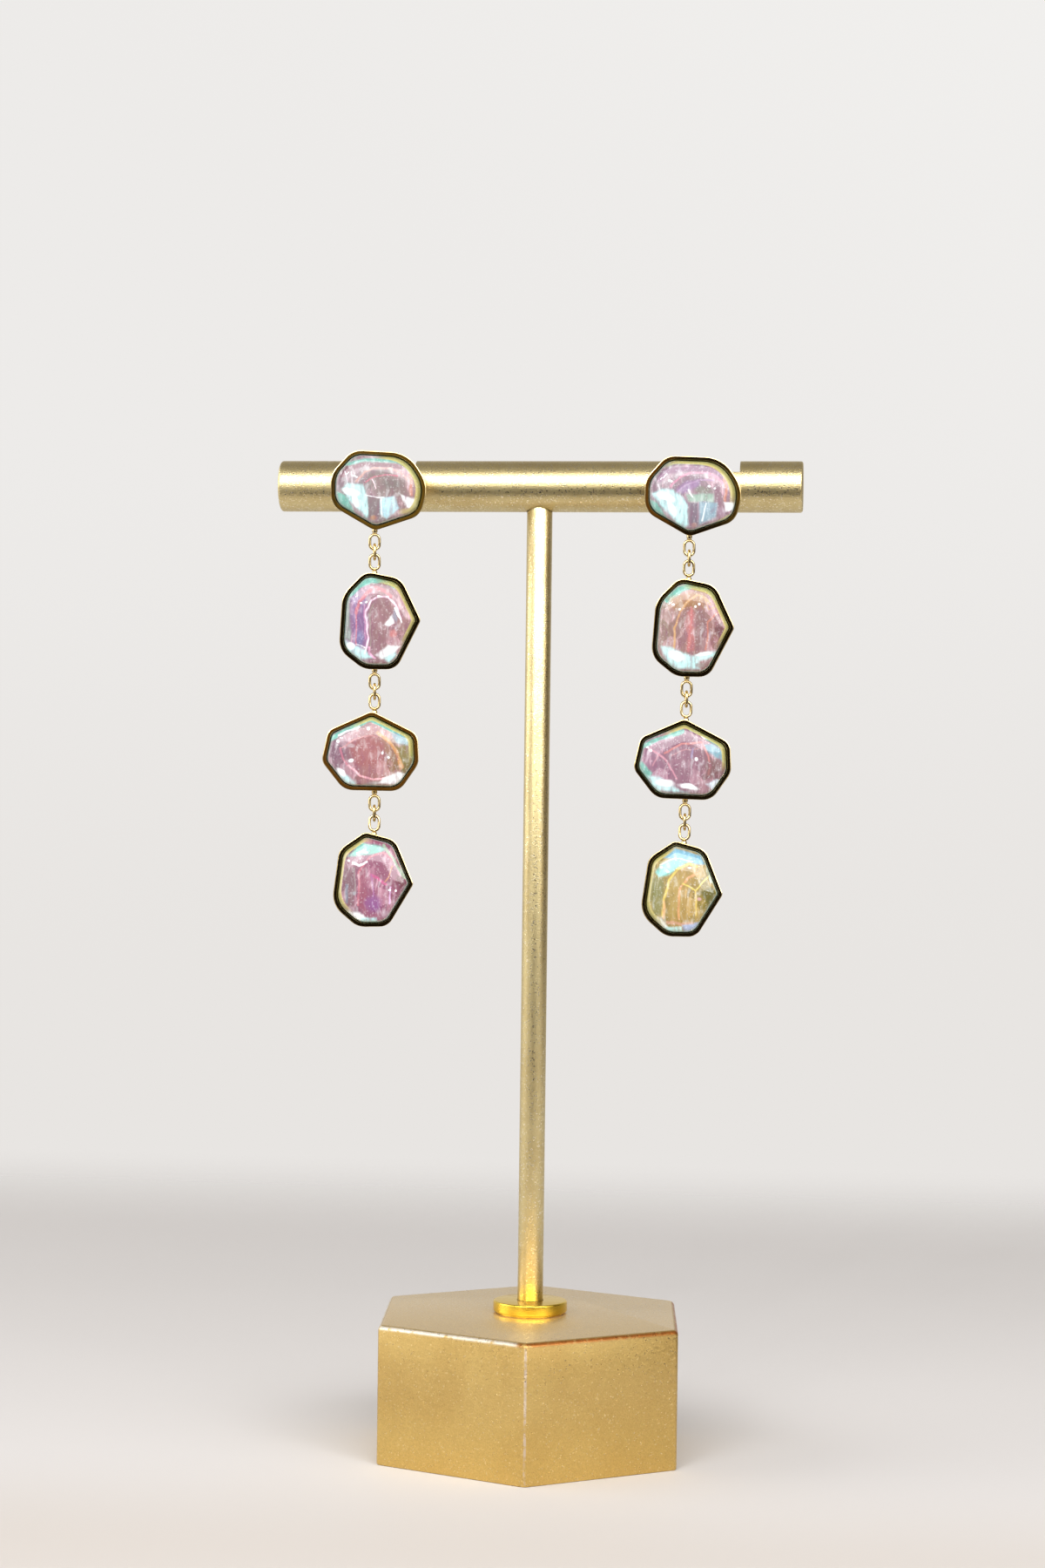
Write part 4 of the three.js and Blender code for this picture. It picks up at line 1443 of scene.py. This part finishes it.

# In these finishes the white, ice, aqua, sky and other pale blue marks are painted reflections:
# near a stone's top of the light from above, near its bottom of the pale floor.
RIGHT_FINISHES = (
    StoneFinish("pearl_right", "9b8a9c", "ad93aa", "ab859a", (
        Line(((-34, 33), (-10, 37), (20, 35), (38, 24)), 2.6, GREY, 0.8),
        Line(((-38, 18), (-31, 26), (-8, 30), (22, 28), (36, 18)), 5.2, "8c4f82", 0.9),
        Line(((-26, 9), (-15, 20), (-5, 25), (14, 25), (26, 20), (33, 13)), 1.8, "eb9ac4", 0.9),
        Patch(((-20, 6), (-8, 16), (8, 18), (4, 8), (-12, 2)), "b48cc8", 0.75, 5),
        Line(((-19, 3), (-8, 12), (6, 17), (22, 17)), 1.3, LILAC, 0.85),
        Line(((34, 18), (37, 8), (36, -5)), 2.4, CORAL, 0.9),
        Glow(10, 6, 14, 6, "9c9a96", 0.7),
        Line(((-40, 12), (-37, 3)), 1.2, "d9d3dc", 0.6),
        Patch(((-47, 1), (-36, 6), (-24, 5), (-12, -2), (-7, -12), (-6, -32), (-12, -37),
               (-24, -27), (-33, -15), (-44, -4)), ICE, 0.92, 5),
        Glow(-31, -2, 13, 5, WHITE, 0.95, -20),
        Glow(-24, -15, 4, 12, WHITE, 0.8, 25),
        Patch(((-49, -5), (-40, -9), (-30, -25), (-40, -22), (-49, -15)), AQUA, 0.85, 3),
        Patch(((-4, -9), (4, -9), (5, -33), (-3, -36)), "94809a", 0.9, 2),
        Glow(1, -33, 5, 4, "cf9aa0", 0.8),
        Patch(((-8, 1), (22, 2), (23, -8), (-6, -8)), "b4d3cd", 0.75, 4),
        Line(((-2, -2), (-6, 6)), 1.3, WHITE, 0.8),
        Patch(((6, -8), (27, -8), (24, -24), (7, -32)), "a8c6e6", 0.85, 4),
        Line(((14, -10), (10, -28)), 1.4, WHITE, 0.6),
        Patch(((35, -7), (47, -7), (45, -15), (36, -18)), WHITE, 0.95, 3),
        Glow(31, -18, 7, 7, "c79fc0", 0.7),
        Line(((20, -33), (30, -28), (41, -22)), 2.2, "e3cd74", 0.9),
        # Painted highlights of the lamps.
        Glow(-27.5, 15.6, 2.2, 1.6), Glow(-25, 14.6, 1.4, 1.3),
        Glow(17.5, 11, 2, 1.5), Glow(22.7, 8.6, 1.6, 1.4),
    ), khaki=60),
    StoneFinish("amber_right", "a78580", "b08286", "a86e70", (
        Line(((-30, 30), (-16, 42), (-2, 48), (16, 43), (25, 34)), 4.6, AQUA, 0.95, 0.5),
        Patch(((-28, 32), (-6, 40), (14, 38), (10, 22), (-28, 20)), "b8804e", 0.8, 8),
        Line(((-22, -24), (-21, -1), (-15, 19), (-6, 30), (4, 36), (12, 34), (18, 26)), 1.9,
             PEACH, 0.9),
        Patch(((-8, 18), (0, 20), (1, -26), (-8, -26)), "d98088", 0.7, 4),
        Line(((-3, 22), (-2, 6), (-5, -8), (-5, -26)), 2.0, "e88a94", 0.85),
        Patch(((3, 20), (14, 16), (13, -26), (3, -26)), "9f767f", 0.7, 5),
        Line(((29, 20), (15, 6), (16, -12), (14, -24)), 1.5, CORAL, 0.85),
        Line(((12, 32), (16, 20), (26, 24)), 1.2, PEACH, 0.7),
        Patch(((23, 0), (32, 8), (35, -5), (29, -13)), "84525e", 0.85, 3),
        Line(((28, 20), (34, 4)), 1.6, "cf8f78", 0.7),
        Patch(((-36, -22), (-22, -23), (-6, -30), (6, -34), (8, -46), (-20, -46), (-31, -35)),
              ICE, 0.92, 5),
        Patch(((-6, -31), (12, -28), (29, -23), (24, -32), (8, -36)), ICE, 0.92, 5),
        Glow(-18, -32, 12, 7, WHITE, 0.9, -15),
        Glow(12, -29, 12, 2.5, WHITE, 0.8, 10),
        Glow(8, -42, 8, 4, "b9a3ab", 0.8),
        Line(((20, -40), (26, -31)), 2, AQUA, 0.8),
        # Painted highlights of the lamps.
        Glow(-23.6, 25.6, 2.2, 1.6), Glow(-16.2, 20.9, 2, 1.4),
        Glow(2.2, 23.3, 1.6, 1.8), Glow(6.2, 25.9, 1.8, 2),
    ), khaki=30),
    StoneFinish("lilac_right", "a7789a", "a77a94", "94686f", (
        Line(((-44, 14), (-24, 23), (-2, 31)), 3.4, AQUA, 0.9, 0.5),
        Line(((8, 34), (24, 26), (42, 16)), 3.0, AQUA, 0.85, 0.5),
        Patch(((-42, 10), (-2, 27), (20, 22), (22, 17), (0, 14), (-34, 7)), "8c4f72", 0.85, 4),
        Patch(((21, 15), (31, 19), (44, 10), (46, -2), (36, 2)), SKY, 0.85, 4),
        Line(((13, 32), (24, 24)), 1.8, WHITE, 0.95),
        Patch(((-28, 4), (0, 14), (18, 14), (26, -4), (8, -20), (-14, -14)), "a2718c", 0.6, 6),
        Line(((-21, 6), (-2, 16), (20, 19), (28, 4), (30, -7), (29, -18)), 1.7, "ea9098", 0.9),
        Line(((-14, 3), (2, 10), (18, 12)), 1.0, "e0a0b4", 0.7),
        Line(((-40, 12), (-28, 5), (-20, -1), (-11, -15), (-7, -22)), 1.6, "eda0c0", 0.9),
        Line(((-28, 5), (-34, -7)), 1.2, "e6a0bc", 0.8),
        Line(((-18, -2), (-22, -18)), 1.2, "d5b0c8", 0.7),
        Line(((10, 12), (9, 2)), 1.8, "b9a6dc", 0.7),
        Patch(((28, -2), (42, 0), (40, -20), (26, -22)), "8a5c66", 0.7, 6),
        Patch(((-50, -5), (-45, -4), (-34, -16), (-40, -24), (-48, -16)), AQUA, 0.9, 3),
        Patch(((-42, -12), (-28, -20), (-8, -22), (12, -29), (25, -33), (20, -38), (-28, -36),
               (-35, -29)), ICE, 0.92, 5),
        Glow(-20, -27, 14, 5, WHITE, 0.95, -5), Glow(6, -31, 14, 4, WHITE, 0.9, -12),
        Patch(((26, -28), (38, -22), (44, -22), (34, -34)), "cfe0ea", 0.9, 3),
        # Painted highlights of the lamps.
        Glow(-40, 12.2, 2, 1.6), Glow(-36.1, 8.4, 2.2, 1.8),
        Glow(14.5, 0, 2.6, 3, WHITE, 0.95),
    ), khaki=60),
    StoneFinish("honey_right", "8f8450", "b59156", "93803f", (
        Patch(((-26, 28), (-9, 45), (20, 38), (27, 25), (16, 27), (-10, 26)), SKY, 0.95, 4),
        Patch(((-30, 17), (-21, 28), (-8, 32), (6, 29), (-4, 22), (-14, 14), (-26, 11)),
              AQUA, 0.95, 4),
        Line(((-24, 26), (-8, 33), (12, 30)), 1.2, "d3e8d8", 0.8),
        Patch(((-34, 10), (-20, 12), (-20, -30), (-30, -32)), "85804e", 0.8, 5),
        Patch(((-12, 12), (2, 18), (2, -32), (-12, -32)), "b89a5c", 0.7, 4),
        Line(((-19, -32), (-18, -12), (-13, 9), (-5, 21), (8, 28), (17, 24)), 2.1, "eccb6c", 0.95),
        Line(((-18, -34), (-18, -16)), 2.0, PEACH, 0.8),
        Line(((-1, -34), (-2, -12), (0, 2), (8, 12), (20, 18)), 1.9, "e9a877", 0.9),
        Line(((31, 16), (17, -2), (2, 6)), 1.4, "eed272", 0.9),
        Line(((17, -2), (18, -14), (18, -29)), 1.5, "e8c268", 0.9),
        Patch(((22, -3), (33, 2), (38, -5), (31, -18)), "6a6330", 0.85, 3),
        Glow(21, -12, 3, 2.5, "e6b0b8", 0.8),
        Patch(((-30, -32), (-21, -35), (-14, -43), (-20, -47), (-28, -42)), WHITE, 0.92, 4),
        Patch(((-17, -43), (2, -43), (3, -50), (-12, -49)), ICE, 0.9, 3),
        Line(((-14, -38), (2, -40), (14, -38)), 2.6, "e3a894", 0.7),
        Patch(((3, -41), (22, -37), (16, -48), (4, -50)), "b4bfe8", 0.9, 3),
        Line(((28, 22), (33, 8)), 2.0, "c9dcd3", 0.85),
        # Painted highlights of the lamps.
        Glow(-22.8, 23.2, 2, 1.7), Glow(-16, 18.5, 3, 1.8, WHITE, 1.0, -25),
        Glow(8.1, 22.8, 2.6, 1.6, WHITE, 0.9),
    ), streaks="e2bf86", shade="6c5c2c", khaki=175, tint=(0.69, 0.75, 0.72)),
)


@dataclass
class Studio:
    """The pale floor, the soft lights and the camera."""

    floor_colour: str = "d3d0cf"
    near_colour: str = "cac4bf"
    surround_colour: str = "edebe9"
    focal_px: float = 3500.6
    height_px: float = 1800.0
    sensor_mm: float = 36.0
    camera_place: tuple[float, float, float] = (52.15 * MM, -477.16 * MM, 106.04 * MM)
    heading: float = 6.5
    pitch: float = 0.162
    roll: float = 0.702
    field_blur: float = 3 * MM

    def build(self) -> None:
        """Sets the whole studio up."""
        bpy.context.scene.view_settings.view_transform = "Standard"
        bpy.context.scene.view_settings.look = "None"
        self.camera()
        self.world()
        self.floor()
        self.cards()
        for name, place, goal_height, size, power in (
                ("window", (0.1, -0.66, 0.52), 0.13, (1.3, 0.46), 10.5),
                ("left_fill", (-0.9, -0.1, 0.45), 0.1, (0.7, 0.7), 4.0),
                ("right_fill", (0.8, -0.55, 0.5), 0.06, (0.7, 0.7), 2.6),
                ("glint_a", (-0.25, -0.7, 0.48), 0.12, (0.03, 0.03), 0.25),
                ("glint_b", (-0.17, -0.72, 0.46), 0.12, (0.03, 0.03), 0.25)):
            self.lamp(name, Vector(place), Vector((0.0, 0.0, goal_height)), size, power)

    def camera(self) -> None:
        """Makes the camera."""
        data = bpy.data.cameras.new("photo_camera")
        data.sensor_fit = "AUTO"
        data.sensor_width = self.sensor_mm
        data.lens = self.focal_px * self.sensor_mm / self.height_px
        data.clip_start = 0.01
        camera = bpy.data.objects.new("photo_camera", data)
        bpy.context.collection.objects.link(camera)
        camera.matrix_world = (
            Matrix.Translation(self.camera_place)
            @ Matrix.Rotation(math.radians(self.heading), 4, "Z")
            @ Matrix.Rotation(math.radians(90 - self.pitch), 4, "X")
            @ Matrix.Rotation(math.radians(self.roll), 4, "Z"))
        bpy.context.scene.camera = camera

    def world(self) -> None:
        """Makes a plain pale surround."""
        world = bpy.data.worlds.new("studio")
        world.use_nodes = True
        bpy.context.scene.world = world
        g = Graph(world.node_tree)
        x, _, z = g.split(g.node("ShaderNodeTexCoord", output="Generated"))
        glow = g.mix(g.smooth(z, 0.25, 0.95), "d6d2cc", "8f8a84")
        glow = g.mix(g.smooth(x, 0.2, 0.9, 0.0, 0.7), glow, "4a4034")
        seen = g.node("ShaderNodeLightPath", output="Is Camera Ray")
        wide = g.mix(g.smooth(z, -0.08, 0.12), "e8e5e2", self.surround_colour)
        wide = g.mix(g.smooth(z + x * 0.6, 0.05, 0.35, 0.0, 0.7), wide, "f3f2f0")
        g.close(g.node("ShaderNodeBackground", {0: g.mix(seen, glow, wide), 1: 1.0}),
                "ShaderNodeOutputWorld")

    @staticmethod
    def sheet(name: str, material: Material, size: Sequence[float],
              place: Sequence[float] = (0, 0, 0),
              turn: Sequence[float] = (0, 0, 0)) -> Piece:
        """Makes a flat sheet that belongs to the studio.

        Args:
            name: Its name.
            material: Its material.
            size: Its width and height.
            place: Where its middle is.
            turn: How it is turned, in radians.

        Returns:
            The sheet.
        """
        select_only()
        bpy.ops.mesh.primitive_plane_add(size=1.0, location=place, rotation=turn)
        sheet = bpy.context.object
        sheet.name = name
        sheet.scale = (*size, 1.0)
        bpy.ops.object.transform_apply(location=True, rotation=True, scale=True)
        sheet.data.materials.append(material)
        return sheet

    def floor(self) -> None:
        """Lays the floor, whose far edge fades out."""
        g, material = Graph.material("pale_floor")
        _, y, _ = g.split(g.place())
        colour = g.mix(g.smooth(y, -0.01, -0.07), self.floor_colour, self.near_colour)
        shader = g.principled(Base_Color=colour, Roughness=0.6, Specular_IOR_Level=0.1)
        clear = g.node("ShaderNodeBsdfTransparent")
        away = g.number("LENGTH", g.place())
        far = g.maths("MAXIMUM", g.smooth(y, 0.2, 0.36), g.smooth(away, 0.4, 0.8))
        g.close(g.node("ShaderNodeMixShader", {0: far, 1: shader, 2: clear}))
        self.sheet("floor", material, (4.0, 4.0))

    def cards(self) -> None:
        """Stands dark cards behind the camera and to the right, and lays one before the base.

        Only the metal's reflections see them.
        """
        upright = math.pi / 2
        for name, colour, place, turn, size in (
                ("standing_card", "17110b", (0.035, -0.54, 0.119), (upright, 0, 0), (0.36, 0.232)),
                ("lying_card", "17110b", (0.05, -0.36, 0.002), (0, 0, 0), (0.56, 0.44)),
                ("right_card", "574a38", (0.42, 0.02, 0.14), (upright, 0, upright), (0.4, 0.26))):
            card = self.sheet(name, self.card_material(name, colour), size, place, turn)
            card.visible_camera = False
            card.visible_diffuse = False
            card.visible_shadow = False

    def card_material(self, name: str, colour: Value) -> Material:
        """Paints a card that glows faintly in a dark colour, with brown fields that some of the
        rims mirror: painted reflections set for those rims.
        """
        g, material = Graph.material(name)
        if name == "standing_card":
            x, _, z = g.split(g.place())
            for left, right, low, high, brown in (
                    (0.100, 0.138, 0.168, 0.230, "74602f"),
                    (-0.02, 0.079, 0.140, 0.235, "6b4c22"),
                    (-0.02, 0.088, -0.01, 0.078, "6e5122")):
                across, up = (
                    g.smooth(abs(way - (start + end) / 2), (end - start) / 2 + self.field_blur,
                             (end - start) / 2 - self.field_blur)
                    for way, start, end in ((x, left, right), (z, low, high)))
                colour = g.mix(across * up, colour, brown)
        g.close(g.principled(Base_Color=(0.0, 0.0, 0.0), Roughness=1.0, Specular_IOR_Level=0.0,
                             Emission_Color=colour, Emission_Strength=1.0))
        return material

    @staticmethod
    def lamp(name: str, place: Vector, goal: Vector, size: tuple[float, float],
             power: float) -> None:
        """Hangs one soft lamp.

        Args:
            name: Its name.
            place: Where it hangs.
            goal: What it points at.
            size: Its width and height.
            power: Its power in watts.
        """
        data = bpy.data.lights.new(name, "AREA")
        data.shape = "RECTANGLE"
        data.size, data.size_y = size
        data.energy = power
        lamp = bpy.data.objects.new(name, data)
        bpy.context.collection.objects.link(lamp)
        lamp.matrix_world = (Matrix.Translation(place)
                             @ (goal - place).to_track_quat("-Z", "Y").to_matrix().to_4x4())


def main() -> None:
    """Builds everything in order."""
    logging.basicConfig(level=logging.INFO, format="%(name)s: %(message)s")
    Studio().build()
    stand = Stand()
    stand.build()
    patterns = Patterns()
    for side, x, rise, lean, turns, finishes in (
            ("left", -25 * MM, 4.0 * MM, -0.7, (12, 14, 8, 2), LEFT_FINISHES),
            ("right", 24 * MM, 4.7 * MM, 0.4, (5, 8, 9, -4), RIGHT_FINISHES)):
        Earring(side, x, rise, lean, turns, finishes, stand, patterns).build()
    patterns.clear()


if __name__ == "__main__":
    main()
